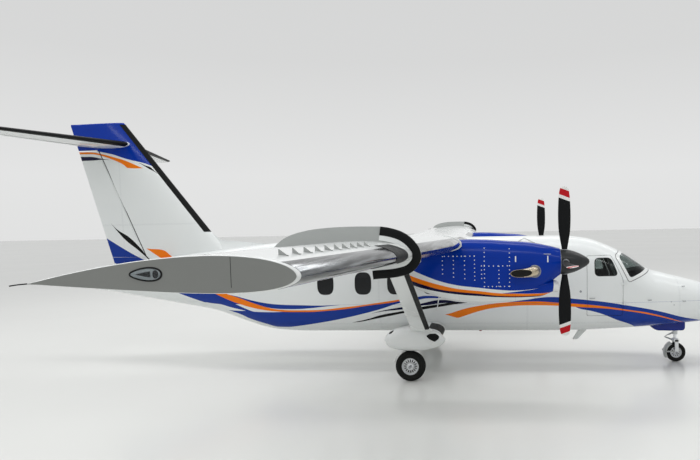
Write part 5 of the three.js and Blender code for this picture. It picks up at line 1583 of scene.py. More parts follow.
# %% Wheels
def tyre_profile(radius, rim, half, grooves):
    """Outer wall, tread and inner wall: a squared arch, with narrow grooves pressed into the tread."""
    t = np.linspace(-1, 1, 61)
    tread = radius - (radius - rim - 0.012) * (np.abs(t) ** 4.2) * 0.42
    for groove in grooves:
        tread = tread - 0.006 * (np.abs(t - groove) < 0.034)
    walls = [[rim - 0.004, -half * 0.70], [rim + 0.010, -half * 0.86], [rim + 0.045, -half * 1.0 + 0.001]]
    crown = np.column_stack([tread, t * half * 0.86])
    shoulder = [[rim + 0.078, -half * 1.0 + 0.001]]
    left, right = np.array(walls + shoulder), np.array(walls + shoulder)[::-1] * [1, -1]
    return np.vstack([left, crown[2:-2], right])


def rim_profile(rim, half, bore):
    return np.array([[bore, -half * 0.56], [rim * 0.42, -half * 0.56], [rim * 0.50, -half * 0.44],
                     [rim * 0.84, -half * 0.36], [rim * 0.90, -half * 0.44], [rim * 0.94, -half * 0.70],
                     [rim + 0.006, -half * 0.74], [rim + 0.006, -half * 0.66], [rim - 0.006, -half * 0.60],
                     [rim - 0.006, half * 0.60], [rim + 0.006, half * 0.66], [rim + 0.006, half * 0.74],
                     [rim * 0.94, half * 0.70], [rim * 0.86, half * 0.30], [bore + 0.03, half * 0.30],
                     [bore, half * 0.36]])


def wheel(name, body, centre, radius, rim, width, slots, nodes, face):
    """Tyre, slotted rim, brake drum and hub of one wheel, turned about its axle. Its dished face looks to that side."""
    half = width / 2
    tyre = lathe(tyre_profile(radius, rim, half, (-0.62, -0.24, 0.24, 0.62)), "y", centre, 48)
    place(f"{name}_tyre_tread", tyre, tyre_rubber, body, "tyre", [nodes[0]])
    disc = lathe(rim_profile(rim, half, 0.031), "y", count=96)
    hole = rounded_bar(rim * 0.15, rim * 0.34, 16, 2.4)
    cutter = stacked([standing(hole, y, rim * 0.64) for y in (-half, half)])
    mesh = pierced(disc, together(*[turned_about(cutter, "y", 360 * i / slots) for i in range(slots)]))
    if face > 0:
        mesh.transform(Matrix.Rotation(math.pi, 4, "Z"))
    mesh.transform(Matrix.Translation(centre))
    place(f"{name}_rim_slotted", mesh, cast_alloy, body, "wheel_rim", [nodes[1]])
    drum = lathe(np.array([[0.031, 0.18], [rim * 0.88, 0.18], [rim * 0.90, 0.10], [rim * 0.90, -0.29], [0.031, -0.29]])
                 * [1, half * face], "y", centre, 48)
    place(f"{name}_brake_drum", drum, soot, body, "wheel_rim")
    caps = []
    for end in (-1, 1):
        cap = lathe(np.array([[0, 0.28], [rim * 0.34, 0.28], [rim * 0.34, 0.53], [rim * 0.30, 0.58], [rim * 0.16, 0.60],
                              [rim * 0.14, 0.66], [0, 0.67]]) * [1, half * end], "y", count=40)
        nuts = [lathe(np.array([[0, 0.3], [0.008, 0.3], [0.008, 0.60], [0.006, 0.62], [0, 0.62]]) * [1, half * end],
                      "y", (x, 0, z), 6) for x, z in arc((0, 0), rim * 0.25, 0, 315, 8)]
        caps += [cap, *nuts]
    place(f"{name}_hub_caps", moved(together(*caps), np.asarray(centre)), hard_chrome, body, "wheel_rim")


for name, side in SIDES:
    wheel(f"main_{name}", f"main_wheel_{name}", (WHEEL_X, side * POD_Y, WHEEL_Z), WHEEL_Z, 0.183, 0.236, 16,
          (f"main_tyre_{name}", f"main_rim_{name}"), side)
NOSE_WHEEL = (6.932, 0.0, 0.222)
wheel("nose", "nose_wheel", NOSE_WHEEL, NOSE_WHEEL[2], 0.130, 0.150, 12, ("nose_tyre", "nose_rim"), -1)
print("three wheels")

# %% [markdown]
# The nose leg is a chromed tube in a painted sleeve. A fork steers on it and carries the wheel, a curved
# guard stands close behind the tyre, and a scissor link keeps the fork in line.

# %% Nose gear
NOSE_FAIRING = MM * np.array([
    # x, top, bottom, half width, power x 1000
    [6340, 960, 842, 100, 3600],
    [6420, 1000, 775, 140, 3800],
    [6500, 1015, 741, 152, 4000],
    [6600, 1020, 737, 158, 4000],
    [7000, 1040, 737, 150, 4000],
    [7090, 1030, 745, 140, 4000],
    [7110, 1020, 762, 128, 3600],
])
steps = np.concatenate([[6.341], np.linspace(6.36, 7.09, 24), [7.104, 7.109]])
fairing_rings = body_rings(NOSE_FAIRING, steps, 0, 0, 64)
place("nose_gear_fairing_shell", loft(fairing_rings), blue_paint, slot="blue_paint",
      stands_for=["nose_gear_fairing"])
STEER_X = 6.920
place("nose_leg_tube", lathe(rod(0.036, 0.560, 0.76), "z", (STEER_X, 0, 0), 40),
      hard_chrome, slot="gear_metal", stands_for=["nose_leg"])
place("nose_leg_sleeve", lathe([[0.036, 0.640], [0.056, 0.640], [0.060, 0.646], [0.060, 0.668], [0.055, 0.674],
                                [0.055, 0.90], [0.036, 0.90]], "z", (STEER_X, 0, 0), 40), gear_paint,
      slot="gear_metal")
crown_block = lathe([[0, 0.470], [0.060, 0.470], [0.072, 0.482], [0.072, 0.536], [0.050, 0.552], [0.042, 0.5595],
                     [0, 0.5595]], "z", (STEER_X, 0, 0), 40)
bridge = moved(prism(rounded(oblong(-0.05, 0.062, 0.478, 0.535), 0.012), -0.112, 0.112), (STEER_X, 0, 0))
arm_line = rounded([[-0.040, 0.200], [0.034, 0.192], [0.052, 0.260], [0.044, 0.530], [-0.040, 0.530],
                    [-0.030, 0.300]], 0.02)
arms = [moved(prism(arm_line, y, y + 0.028), (STEER_X + 0.006, 0, 0)) for y in (-0.112, 0.084)]
nose_axle = lathe([[0, -0.128], [0.026, -0.128], [0.030, -0.122], [0.030, 0.122], [0.026, 0.128], [0, 0.128]], "y",
                  NOSE_WHEEL, 32)
place("nose_fork_frame", together(crown_block, bridge, *arms), gear_paint, "nose_fork", "gear_metal", ["nose_fork"],
      bevel=0.004)
lower_link = prism(rounded([[6.865, 0.486], [6.872, 0.528], [6.700, 0.590], [6.688, 0.566]], 0.012), -0.022, 0.022)
pivot = lathe(rod(0.014, -0.034, 0.034), "y", (6.697, 0, 0.577), 16)
place("nose_fork_fittings", together(nose_axle, lower_link, pivot), plated_steel, "nose_fork", "gear_metal")
upper_link = prism(rounded([[6.862, 0.655], [6.870, 0.700], [6.712, 0.612], [6.700, 0.598]], 0.008), -0.018, 0.018)
place("nose_leg_link", upper_link, plated_steel, slot="gear_metal")

guard = arc(NOSE_WHEEL[::2], 0.268, 208, 118, 26)
bend = np.radians(np.linspace(-90, 90, 21))
arch = np.column_stack([0.048 * np.cos(bend) ** 0.45 - 0.048, 0.092 * np.sign(np.sin(bend))
                        * np.abs(np.sin(bend)) ** 0.55])
shell = np.vstack([arch + [0.004, 0], ((arch * [1, 0.965]) - [0.0015, 0])[::-1]])
stays = [prism(oblong(6.664, 6.884, 0.238, 0.268), y, y + 0.008) for y in (-0.121, 0.113)]
webs = [prism(oblong(6.664, 6.690, 0.232, 0.274), *ends) for ends in ((-0.121, -0.088), (0.088, 0.121))]
mudguard = together(swept(standing(guard, 0.0), shell, (0, 1, 0)), *stays, *webs)
place("nose_mudguard_shell", mudguard, tip_paint, "nose_fork", "grey_paint", ["nose_mudguard"])
print("nose gear")

# %% [markdown]
# ## Tail
# The tail section is a hollow shell with the entry door in its left side, hinged at its sill. The fin
# grows out of it, with a long low fillet ahead, and carries the tailplane near its top. Rudder and
# elevators are hinged panels like the flaps. Black boots protect the leading edges.

# %% Tail section and entry door
ENTRY = MM * np.array(oblong(-2380, -1620, 1160, 2600))
ENTRY_TABS = (-2.200, -1.800)
# The room behind the door is a box within the wall: the hull 60 mm in, cut off flat at the floor and ahead
ROOM = (-4.40, -1.36)
FLOOR = 1.16


def room_at(depth):
    """The room's solid with its faces this deep: walls inside the hull, floor and ends drawn in alike."""
    inset = depth - 0.060
    rings = hull(ROOM[0] + inset, ROOM[1] - inset, depth, 0.08)
    return loft(np.stack([rings[..., 0], rings[..., 1], np.maximum(rings[..., 2], FLOOR + inset)], -1))


room = room_at(0.060)
tail_outer = loft(hull(TAIL_X, CABIN_REAR, 0, 0.06))
entry_hole = side_cut(rounded(ENTRY, 0.09), 1)
entry_plug = side_cut(rounded(grown(ENTRY, -DOOR_GAP), 0.085), 1)
entry_notches = [prism(oblong(x - 0.066, x, 1.135, 1.165), 0.78, 0.86) for x in ENTRY_TABS]
tail = pierced(tail_outer, room, entry_hole, *entry_notches)
place("tail_shell", tail, body_paint, slot="airframe_paint", stands_for=["tail_section"])
entry = carved(tail_outer, ("DIFFERENCE", room), ("INTERSECT", entry_plug))
place("entry_door_skin", entry, body_paint, "entry_door", "airframe_paint", ["entry_door"])
# Thin trim panels line the room and the door's inner side, so the outer paint stops at the doorway
lining_hole = side_cut(rounded(ENTRY + [[0, 0.004], [0, 0.004], [0, 0], [0, 0]], 0.09), 1)
for name, body, cut in (("rear_room_lining", "airframe", ("DIFFERENCE", lining_hole)),
                        ("entry_door_lining", "entry_door", ("INTERSECT", entry_plug))):
    panels = carved(room_at(0.0605), ("DIFFERENCE", room_at(0.0635)), cut)
    place(name, panels, panel_coating, body, "cockpit_trim")


def entry_barrels(offset, tab_low, tab_high):
    """Two short barrels on the sill's hinge line, each with a tab up or down to its panel."""
    parts = []
    for x in ENTRY_TABS:
        x0, x1 = x + offset, x + offset + 0.0597
        parts += [lathe(rod(0.014, x0, x1), "x", (0, 0.850, 1.150), 20),
                  prism(oblong(x0, x1, tab_low, tab_high), 0.806, 0.850)]
    return together(*parts)


place("entry_door_barrels", entry_barrels(-0.060, 1.150, 1.210), body_paint, "entry_door", "gear_metal")
place("entry_sill_barrels", entry_barrels(0.0003, 1.090, 1.150), body_paint, slot="gear_metal")
treads = [prism(rounded(oblong(-2.30, -1.70, z, z + 0.03), 0.01), 0.655, 0.80) for z in (1.45, 1.75, 2.05)]
place("entry_door_steps", together(*treads), deck_vinyl, "entry_door", "cockpit_trim", bevel=0.004)
print("tail shell", len(tail.vertices), "points, entry door", len(entry.vertices))

# %% Fin and rudder
FIN = MM * np.array([
    # z, lead, trail, thickness share x 1000
    [2440, -3695, -6940, 100],
    [6023, -6490, -7937, 90],
])


def fin_foil(z):
    k = (z - FIN[0, 0]) / (FIN[1, 0] - FIN[0, 0])
    lead, trail, thick = FIN[0, 1:] + k * (FIN[1, 1:] - FIN[0, 1:])
    return lead, trail, thick, 0.0, 0.0


def on_fin(ring, z):
    return np.stack([ring[:, 0], ring[:, 1], np.full(len(ring), z)], -1)


RUDDER_SPAN = (2.640, 5.330)


def rudder_hinge(z):
    """The raked hinge line's x at that height."""
    return float(np.interp(z, RUDDER_SPAN, (-6.074, -7.218)))


rudder, rudder_cove, rudder_pin, rudder_seal_and_shade = hinged(RUDDER_SPAN, fin_foil, on_fin, rudder_hinge, 0.012, 27, 27,
                                                      (0.0055, 0.030))
caps = [(section(fin_foil(z), grow), z) for z, grow in ((2.440, 0), (5.990, 0), (6.005, -0.004), (6.016, -0.010),
                                                         (6.023, -0.020))]
fin = pierced(stacked([on_fin(*cap) for cap in caps]), rudder_cove)
place("fin_skin", fin, body_paint, slot="airframe_paint", stands_for=["fin"])
place("rudder_skin", together(rudder, rudder_pin), body_paint, "rudder", "airframe_paint", ["rudder"])
# The cove's black liner: partly a seal, partly painted shade that darkens the rudder's hinge gap
place("fin_cove_seal_and_shade", rudder_seal_and_shade, black_rubber, slot="deicing_boot")


def painted_shade_strip(z, sign):
    """A thin black strip on the fin's skin just ahead of the cove's lip, where the lip's line meets the skin: painted
    shade that darkens the hinge line.
    """
    foil = fin_foil(z)
    hinge = rudder_hinge(z)
    radius, lip = panel_end(foil, hinge)[2], math.radians(27)
    reach = radius + 0.012
    x = hinge + reach * math.sin(lip) - (radius - reach * math.cos(lip)) / math.tan(lip)
    share = (foil[0] - np.array([x + 0.026, x + 0.002])) / (foil[0] - foil[1])
    return on_fin(np.vstack([surface(foil, share, sign, 0.0012), surface(foil, share[::-1], sign, -BEDDED)]), z)


strips = [stacked([painted_shade_strip(z, sign) for z in np.linspace(2.66, 5.33, 12)]) for sign in (-1, 1)]
# A thin black plate in the gap under the rudder's foot: painted shade in the gap
wiper_and_gap_shade = prism(oblong(-6.93, -6.13, 2.622, 2.6305), -0.003, 0.003)
place("fin_hinge_strips", together(*strips, wiper_and_gap_shade), black_rubber, slot="deicing_boot")
DORSAL = MM * np.array([
    # x, top, half width at the foot
    [-4620, 3420, 96],
    [-4305, 3222, 100],
    [-4103, 3058, 98],
    [-3700, 3003, 84],
    [-3300, 2960, 56],
    [-2950, 2925, 20],
])


def fillet_rings(xs, count=41):
    """The fillet ahead of the fin: sections that are narrow on top and flare into the hull like a bell curve."""
    top, half = smooth(DORSAL, xs).T[:, :, None]
    foot = smooth(FUSELAGE, xs)[:, :1] - 0.10
    t = np.linspace(-1, 1, count)
    return np.stack([np.asarray(xs)[:, None] + 0 * t, half * np.sign(t) * np.abs(t) ** 1.6,
                     foot + (top - foot) * (1 - np.abs(t) ** 1.25)], -1)


place("dorsal_fillet", loft(fillet_rings(np.linspace(-4.60, -2.95, 40)), "flat"), body_paint, slot="airframe_paint")
print("fin, rudder and fillet")

# %% Tailplane and elevators
TAILPLANE_Z = 5.480


def tail_foil(y):
    k = y / 3.950
    return -6.300 - 1.264 * k, -7.766 - 0.629 * k, 0.13 - 0.03 * min(1, k * 6), 0.0, 0.0


def on_tailplane(side):
    return lambda ring, y: standing(ring, side * y, TAILPLANE_Z)


def elevator_hinge(y):
    """The hinge line lies 64 hundredths of the way along the chord."""
    lead, trail = tail_foil(y)[:2]
    return lead + 0.64 * (trail - lead)


END = 3.950
for name, side in SIDES:
    put = on_tailplane(side)
    elevator, cove, pin, seal = hinged((0.300, 3.860), tail_foil, put, elevator_hinge, 0.006, 24, 20)
    stations = [(y, 0.0) for y in (0.0, 0.2, 0.4, 0.65, END - 0.035)] + [(END - 0.016, -0.004), (END - 0.004, -0.010),
                                                                         (END, -0.018)]
    slab = stacked([put(section(tail_foil(y), grow), y) for y, grow in stations])
    place(f"tailplane_{name}_skin", pierced(slab, cove), wing_paint, slot="airframe_paint",
          stands_for=[f"tailplane_{name}"])
    place(f"elevator_{name}_skin", together(elevator, pin), wing_paint, f"elevator_{name}", "airframe_paint",
          [f"elevator_{name}"])
    # The cove's black liner: partly a seal, partly painted shade that darkens the elevator's hinge gap
    place(f"tailplane_{name}_cove_seal", seal, black_rubber, slot="deicing_boot")
    boot = stacked([put(edge_strip(tail_foil(y), 0.07, 0.07, 0.002), y) for y in (0.12, END - 0.05)])
    place(f"tailplane_{name}_boot", boot, boot_rubber, slot="deicing_boot")

fin_boot = stacked([on_fin(edge_strip(fin_foil(z), share, share, 0.002), z)
                    for z, share in ((3.245, 0.052), (4.6, 0.066), (5.975, 0.090))])
place("fin_boot", fin_boot, boot_rubber, slot="deicing_boot")
print("tailplane, elevators and boots")

# %% [markdown]
# ## Windows, flight deck and fittings
# The cabin windows are squared ovals, seven on each side, flush with the skin inside a thin rubber seal.
# The windscreen is two panes in a pale frame, with a post between them. The hull's own surface carries
# them all: a window is drawn flat, in a side view, and each of its points is then pushed out to the skin.

# %% Cabin windows and windscreen
WINDOW_X = MM * np.array([-1150, -266, 492, 1300, 2100, 2900, 3700])
WINDOW = rounded_bar(0.374, 0.500, 48, 3.0) + [0, 2.0]
for name, side in SIDES:
    outlines = [WINDOW + [x, 0] for x in WINDOW_X]
    panes = [pane(outline, side, -0.0012, 0.004, (22, 10)) for outline in outlines]
    place(f"cabin_windows_{name}", together(*panes), dark_acrylic, slot="glazing")
    beads = [bead(outline, side, 0.016, 0.007) for outline in outlines]
    place(f"cabin_window_seals_{name}", together(*beads), black_rubber, slot="cockpit_trim")

FRAME_WIDE = 0.072
opening = rounded(WINDSCREEN, 0.05)
glazed = rounded(grown(WINDSCREEN, -FRAME_WIDE), 0.07)
skin = tube(5.34, 6.36, 0.010, 0.03)
sheet = tube(5.34, 6.36, 0.011, 0.03, 0.004)
for name, side in SIDES:
    surround = carved(skin, ("INTERSECT", side_cut(rounded(grown(WINDSCREEN, -0.005), 0.047), side, 0.038)),
                      ("DIFFERENCE", side_cut(glazed, side, 0.080)))
    place(f"windscreen_frame_{name}", surround, gear_paint, slot="airframe_paint", crease=50)
    outline = rounded(grown(WINDSCREEN, -FRAME_WIDE + 0.012), 0.07)
    glass = carved(sheet, ("INTERSECT", side_cut(outline, side, 0.070)))
    place(f"windscreen_pane_{name}", glass, clear_acrylic, slot="glazing", stands_for=["windscreen"] * (side < 0))
    line = dense(opening, 0.02)
    top, bottom, half, power = smooth(FUSELAGE, line[:, 0]).T
    share = np.clip((line[:, 1] - (top + bottom) / 2) / ((top - bottom) / 2), -1, 1)
    lateral = half * (1 - np.abs(share) ** power) ** (1 / power)
    inner_edge = lateral > 0.045
    run = np.stack([line[:, 0], side * lateral, line[:, 1]], -1)[inner_edge]
    start = int(np.argmax(np.linalg.norm(run - np.roll(run, 1, 0), axis=1)))
    run = np.roll(run, -start, 0)
    place(f"windscreen_seal_{name}", swept(run, circle(0.006, 8), (0, side, 0.3)), black_rubber, slot="cockpit_trim")
print(len(WINDOW_X), "windows a side and two windscreen panes")

# %% Flight deck lining, floor and instrument panel
lining = tube(4.53, 6.26, 0.036, 0.05, 0.032)
screen_holes = [side_cut(rounded(grown(WINDSCREEN, 0.012), 0.05), side, 0.02) for _, side in SIDES]
door_holes = [side_cut(rounded(grown(DOORWAY, 0.01), 0.05), side) for _, side in SIDES]
place("deck_lining", pierced(lining, *screen_holes, *door_holes), deck_vinyl, slot="cockpit_trim")
walls = [loft(hull(x, x + 0.012, 0.040, 0.012), "flat") for x in (4.518, 6.262)]
place("deck_bulkheads", together(*walls), panel_coating, slot="cockpit_trim")
floor_slab = carved(loft(hull(4.51, 6.29, 0.038, 0.06), "flat"),
                    ("INTERSECT", prism(oblong(4.4, 6.4, 1.142, 1.180), -BEYOND, BEYOND)))
place("deck_floor", floor_slab, deck_vinyl, slot="cockpit_trim", stands_for=["cockpit_floor"])

panel_line = rounded([[5.80, 1.665], [6.03, 1.665], [6.03, 1.930], [5.995, 1.994], [5.72, 1.994], [5.72, 1.972],
                      [5.78, 1.960]], 0.012)
panel = carved(prism(panel_line, -0.75, 0.75), ("INTERSECT", loft(hull(5.4, 6.29, 0.045, 0.05), "flat")))
place("instrument_panel_shell", panel, panel_coating, slot="cockpit_trim", stands_for=["instrument_panel"],
      bevel=0.004)
console = prism(rounded([[5.715, 1.180], [5.99, 1.180], [5.99, 1.70], [5.80, 1.70], [5.715, 1.56]], 0.02), -0.13, 0.13)
LEVERS = (-0.08, -0.05, -0.015, 0.015, 0.05, 0.08)
levers = [swept([[5.80, y, 1.66], [5.77, y, 1.74], [5.755, y, 1.79]], circle(0.006, 10), (0, 1, 0)) for y in LEVERS]
knobs = [lathe([[0, -0.013], [0.009, -0.011], [0.014, 0], [0.009, 0.011], [0, 0.013]], "y", (5.753, y, 1.797), 16)
         for y in LEVERS]
place("centre_console", together(console, *levers, *knobs), panel_coating, slot="cockpit_trim", bevel=0.004)


def screen_plate(y, z, wide, tall, proud):
    """A plate on the panel's sloping face: drawn upright, then tilted to the slope of the face."""
    plate = rounded(oblong(-wide / 2, wide / 2, -tall / 2, tall / 2), 0.012)
    rings = np.stack([np.stack([np.full(len(plate), x), plate[:, 0], plate[:, 1]], -1) for x in (0.004, -proud)])
    rings[..., 0] -= (rings[..., 2] + z - 1.665) * 0.068
    return moved(loft(rings, "flat"), (5.800, y, z))


SCREENS = ((-0.53, 0.27), (-0.20, 0.27), (0.20, 0.27), (0.53, 0.27))
place("display_bezels", together(*[screen_plate(y, 1.815, 0.30, 0.23, 0.012) for y, _ in SCREENS]), panel_coating,
      slot="cockpit_trim", bevel=0.003)
place("display_screens", together(*[screen_plate(y, 1.820, wide, 0.18, 0.0155) for y, wide in SCREENS]), screen_glass,
      slot="glazing")
SEAT_Y = 0.40
for name, side in SIDES:
    y = side * SEAT_Y
    column = swept([[5.80, y, 1.70], [5.70, y, 1.70], [5.60, y, 1.71]], circle(0.016, 16), (0, 1, 0))
    rim = arc((y, 1.74), 0.135, 200, 340, 20)
    horns = swept(through(np.vstack([[[5.585, y - 0.13, 1.80]], [[5.59, v, w] for v, w in rim],
                                     [[5.585, y + 0.13, 1.80]]]), 44), circle(0.013, 12), (1, 0, 0))
    spoke = swept([[5.59, y, 1.605], [5.595, y, 1.71]], circle(0.014, 12), (0, 1, 0))
    place(f"control_wheel_{name}", together(column, horns, spoke), panel_coating, slot="cockpit_trim")
print("panel, console, screens and control wheels")

# %% [markdown]
# A seat cushion is blown up like the real foam in its cover: a slightly small pad is remeshed evenly,
# simulated as cloth with pressure inside and no gravity, and each point's travel is capped so that the
# pad swells into its size and no further. The seam is a welt of piping round its middle, added after.

# %% Pilot seats
PAD_POWER = 3.4


def pad(size, crown=0.16):
    """A crowned pad of that length, width and height round the origin: squared rings that shrink to top and bottom."""
    t = np.linspace(-1, 1, 15)
    shrink = (1 - np.abs(t) ** 3.2) ** 0.42 * 0.16 + 0.84
    ring = rounded_bar(size[0], size[1], 48, PAD_POWER)
    height = t * size[2] / 2
    dome = 1 + crown * (1 - (np.hypot(ring[:, 0] / size[0], ring[:, 1] / size[1]) * 2) ** 2)
    return loft(np.stack([np.column_stack([ring * s, h * dome]) for s, h in zip(shrink, height)]), "fan",
                [[0, 0, -size[2] / 2 * (1 + crown)], [0, 0, size[2] / 2 * (1 + crown)]])


def blown(name, part, voxel=0.012, cap=0.014):
    """The pad's mesh after it has been simulated as cloth under pressure."""
    mesh = mesh_of(name, part)
    scene = bpy.context.scene
    holder = bpy.data.objects.new(name, mesh)
    scene.collection.objects.link(holder)
    remesh = holder.modifiers.new("even", "REMESH")
    remesh.mode, remesh.voxel_size = "VOXEL", voxel
    even = bpy.data.meshes.new_from_object(holder.evaluated_get(bpy.context.evaluated_depsgraph_get()))
    holder.modifiers.clear()
    holder.data = even
    before = np.empty(len(even.vertices) * 3)
    even.vertices.foreach_get("co", before)
    cloth = holder.modifiers.new("cover", "CLOTH")
    cloth.settings.use_pressure, cloth.settings.uniform_pressure_force = True, 4.0
    cloth.settings.effector_weights.gravity = 0.0
    for frame_number in range(1, 21):
        scene.frame_set(frame_number)
    swollen = bpy.data.meshes.new_from_object(holder.evaluated_get(bpy.context.evaluated_depsgraph_get()))
    after = np.empty(len(before))
    swollen.vertices.foreach_get("co", after)
    travel = (after - before).reshape(-1, 3)
    length = np.linalg.norm(travel, axis=1, keepdims=True)
    travel *= np.minimum(1, cap / np.maximum(length, 1e-9))
    swollen.vertices.foreach_set("co", (before.reshape(-1, 3) + travel).ravel())
    bpy.data.objects.remove(holder)
    scene.frame_set(1)
    print(name, len(swollen.vertices), "points, greatest travel", round(float(length.max()) * 1000, 1), "mm")
    return swollen


def welt(size):
    """The piping round a pad's middle, five millimetres outside it."""
    ring = rounded_bar(size[0] + 0.010, size[1] + 0.010, 72, PAD_POWER)
    return swept(np.column_stack([ring, np.zeros(72)]), circle(0.0045, 8), (0, 0, 1), closed=True)


SEAT, BACK, HEAD = (0.440, 0.430, 0.100), (0.640, 0.420, 0.085), (0.180, 0.270, 0.080)
# Each pad with its size, its tilt in degrees and where its middle is
pads = {"seat": (blown("seat_pad", pad(SEAT)), SEAT, 6, (5.070, 1.545)),
        "back": (blown("back_pad", pad(BACK)), BACK, 78, (4.845, 1.860)),
        "head": (blown("head_pad", pad(HEAD), 0.010, 0.008), HEAD, 80, (4.790, 2.275))}
for name, side in SIDES:
    y = side * SEAT_Y
    for kind, (mesh, size, tilt, (x, z)) in pads.items():
        turn = Matrix.Translation((x, y, z)) @ Matrix.Rotation(math.radians(-tilt), 4, "Y")
        copy = mesh.copy()
        copy.transform(turn)
        piece = place(f"pilot_seat_{name}_{kind}_pad", copy, seat_leather, slot="cockpit_trim", crease=80,
                      stands_for=[f"pilot_seat_{name}"] * (kind == "seat"))
        smoother = piece.modifiers.new("smooth", "SUBSURF")
        smoother.levels = smoother.render_levels = 1
        ring = mesh_of("welt", welt(size))
        ring.transform(turn)
        place(f"pilot_seat_{name}_{kind}_welt", ring, black_rubber, slot="cockpit_trim")
    bucket = prism(rounded([[4.84, 1.42], [5.27, 1.45], [5.285, 1.50], [4.90, 1.480], [4.80, 1.62], [4.735, 2.14],
                            [4.700, 2.14], [4.745, 1.60]], 0.012), y - 0.20, y + 0.20)
    legs = [swept([[x, y + k * 0.17, 1.44], [x + 0.02, y + k * 0.17, 1.19]], circle(0.018, 16), (0, 1, 0))
            for x in (4.92, 5.20) for k in (-1, 1)]
    rails = [prism(oblong(4.84, 5.34, 1.1805, 1.205), y + k * 0.17 - 0.018, y + k * 0.17 + 0.018) for k in (-1, 1)]
    arms = [swept(through([[x, y + k * 0.235, z] for x, z in ((4.80, 1.70), (4.90, 1.725), (5.10, 1.725))], 12),
                  rounded_bar(0.050, 0.034, 16), (0, 1, 0)) for k in (-1, 1)]
    stem = swept([[4.765, y, 2.10], [4.775, y, 2.26]], circle(0.011, 12), (0, 1, 0))
    place(f"pilot_seat_{name}_frame", together(bucket, *legs, *rails, stem), plated_steel, slot="gear_metal",
          bevel=0.003)
    place(f"pilot_seat_{name}_arms", together(*arms), seat_leather, slot="cockpit_trim")
print("pilot seats")

# %% Aerials, probes and lamps
# The aerial's sections: middle, chord, height, thickness
BELLY = ((4.862, 0.225, 0.830, 0.080), (4.805, 0.200, 0.760, 0.080), (4.650, 0.138, 0.560, 0.085),
         (4.627, 0.118, 0.530, 0.08), (4.615, 0.080, 0.524, 0.06))
oval = circle(0.5, 28)
belly = stacked([np.stack([x + chord * oval[:, 0], thick * oval[:, 1], np.full(28, z)], -1)
                 for x, chord, z, thick in BELLY])
foot = lathe([[0, 0], [0.06, 0], [0.06, 0.006], [0.05, 0.012], [0, 0.012]], "z", (4.80, 0, 0.776), 32)
place("belly_aerial_blade", together(belly, foot), gear_paint, slot="airframe_paint", stands_for=["belly_aerial"])
beacon_line = [[0, 0], [0.055, 0], [0.055, 0.012], [0.050, 0.040], [0.035, 0.062], [0.015, 0.072], [0, 0.074]]
beacon = lathe(beacon_line * np.array([1, -1]), "z", (2.381, 0, 0.790), 32)
place("belly_beacon", beacon, beacon_glass, slot="glazing")


def handle_on(x0, x1, z, side):
    """A flat handle whose ends turn in to the hull at x0 and x1."""
    a, b = hull_side([x0, x1], [z, z], side, 0.010)
    inward, along = np.array([0, side * 0.02, 0]), np.array([0.01, 0, 0])
    return swept(through([a - inward, a + along, b - along, b - inward], 24), rounded_bar(0.018, 0.010, 12), (0, 0, 1))


for name, side in SIDES:
    strip = hull_side([3.253, 3.34, 3.425, 3.54, 3.65], [2.860, 2.914, 2.956, 2.905, 2.854], side, 0.002)
    place(f"roof_strips_{name}", swept(strip, rounded_bar(0.040, 0.012, 12), (0, side, 1)), tip_paint,
          slot="airframe_paint")
    skin_at = hull_side([1.49, 1.43], [1.68, 1.35], side)
    out = np.array([0, side * 0.075, 0])
    mast = through([skin_at[0] - out * 0.2, skin_at[0] + out * 0.7, skin_at[0] + out + [-0.005, 0, -0.03],
                    (skin_at.mean(0)) + out, skin_at[1] + out + [0, 0, 0.02]], 30)
    place(f"step_mast_{name}", swept(mast, circle(0.011, 14), (1, 0, 0)), gear_paint, slot="airframe_paint")
    probes = []
    for x, z, reach in ((6.115, 1.556, 0.07), (6.903, 1.510, 0.05), (6.916, 1.831, 0.05)):
        root = hull_side([x], [z], side)[0]
        probes.append(swept(through([root - [0, side * 0.01, 0], root + [0.006, side * 0.030, 0],
                                     root + [reach, side * 0.036, 0.002]], 14), circle(0.009, 12), (0, 0, 1)))
    place(f"nose_probes_{name}", together(*probes), plated_steel, slot="gear_metal")
    ports = []
    for x, z, radius in ((4.637, 1.774, 0.026), (6.64, 1.50, 0.012), (6.70, 1.43, 0.012)):
        root = hull_side([x], [z], side, -0.004)[0]
        ports.append(lathe([[0, 0], [radius, 0], [radius, 0.0055], [radius * 0.7, 0.0065], [0, 0.0050]]
                                 * np.array([1, side]), "y", root, 24))
    place(f"static_ports_{name}", together(*ports), plated_steel, slot="gear_metal")
    place(f"crew_door_{name}_handle", handle_on(4.83, 4.95, 1.62, side), plated_steel, f"crew_door_{name}",
          "gear_metal")
    collar = wrapped(side, [(y, 0.150, 0.170, proud) for y, proud in
                            ((3.315, 0.004), (3.330, 0.016), (3.352, 0.016), (3.362, 0.004))])
    place(f"nacelle_{name}_wing_collar", collar, gear_paint, slot="airframe_paint")
place("entry_door_handle", handle_on(-2.06, -1.94, 2.30, 1), plated_steel, "entry_door", "gear_metal")
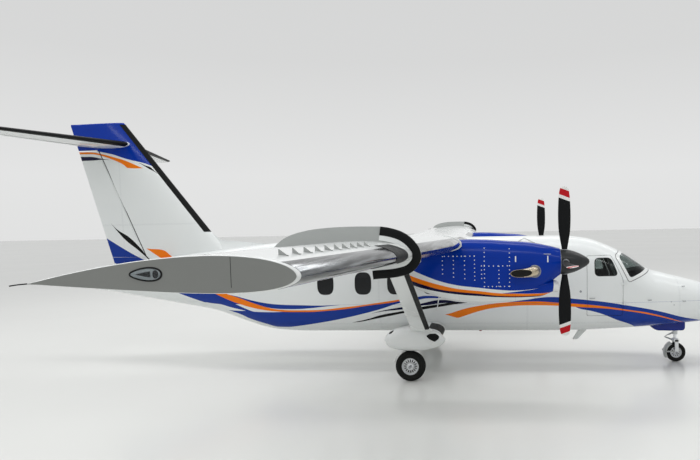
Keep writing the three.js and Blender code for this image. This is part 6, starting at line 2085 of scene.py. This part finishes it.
print("aerials, probes and handles")

# %% [markdown]
# ## Floor and light
# The aircraft stands on a plain pale epoxy floor that mirrors it softly, under rows of long soft lights.
# Long lights matter here: the polished leading edge and glossy paint show nothing but what they reflect.

# %% Stage
floor_epoxy = plain("pale_epoxy_floor", 6000, 0.2, 0.22, "#E0E1DE", "#E3E4E1", IOR=1.45)
FAR = 150.0
corners = np.array([[-FAR, -FAR, 0], [FAR, -FAR, 0], [FAR, FAR, 0], [-FAR, FAR, 0]])
floor = bpy.data.objects.new("floor", mesh_of("floor", (corners, [np.array([[0, 1, 2, 3]])])))
floor.data.materials.append(floor_epoxy)
bpy.context.scene.collection.objects.link(floor)

world = bpy.data.worlds.new("studio")
world.use_nodes = True
bpy.context.scene.world = world
tree = world.node_tree
background = next(node for node in tree.nodes if node.type == "BACKGROUND")
direction = add(tree, "ShaderNodeTexCoord").outputs["Generated"]
rise = add(tree, "ShaderNodeSeparateXYZ", {"Vector": direction}).outputs["Z"]
sky = add(tree, "ShaderNodeValToRGB", {"Fac": ranged(tree, rise, -0.1, 1.0)})
sky.color_ramp.elements[0].color = (0.80, 0.805, 0.80, 1)
sky.color_ramp.elements[1].color = (0.66, 0.665, 0.67, 1)
for share, grey in ((0.16, 0.84), (0.32, 0.74)):
    element = sky.color_ramp.elements.new(share)
    element.color = (grey, grey * 1.005, grey * 1.003, 1)
tree.links.new(sky.outputs["Color"], background.inputs["Color"])
background.inputs["Strength"].default_value = 0.92
LAMPS = [(x, y) for x in (-12, -4, 4, 12) for y in (-12, 0, 12)]
for number, (x, y) in enumerate(LAMPS):
    lamp = bpy.data.lights.new(f"lamp_{number}", "AREA")
    lamp.shape, lamp.size, lamp.size_y, lamp.energy = "RECTANGLE", 7.0, 1.6, 230
    lamp_object = bpy.data.objects.new(f"lamp_{number}", lamp)
    lamp_object.location = (x, y, 12)
    bpy.context.scene.collection.objects.link(lamp_object)
bpy.context.scene.view_settings.view_transform = "Standard"
print(len(LAMPS), "lamps")
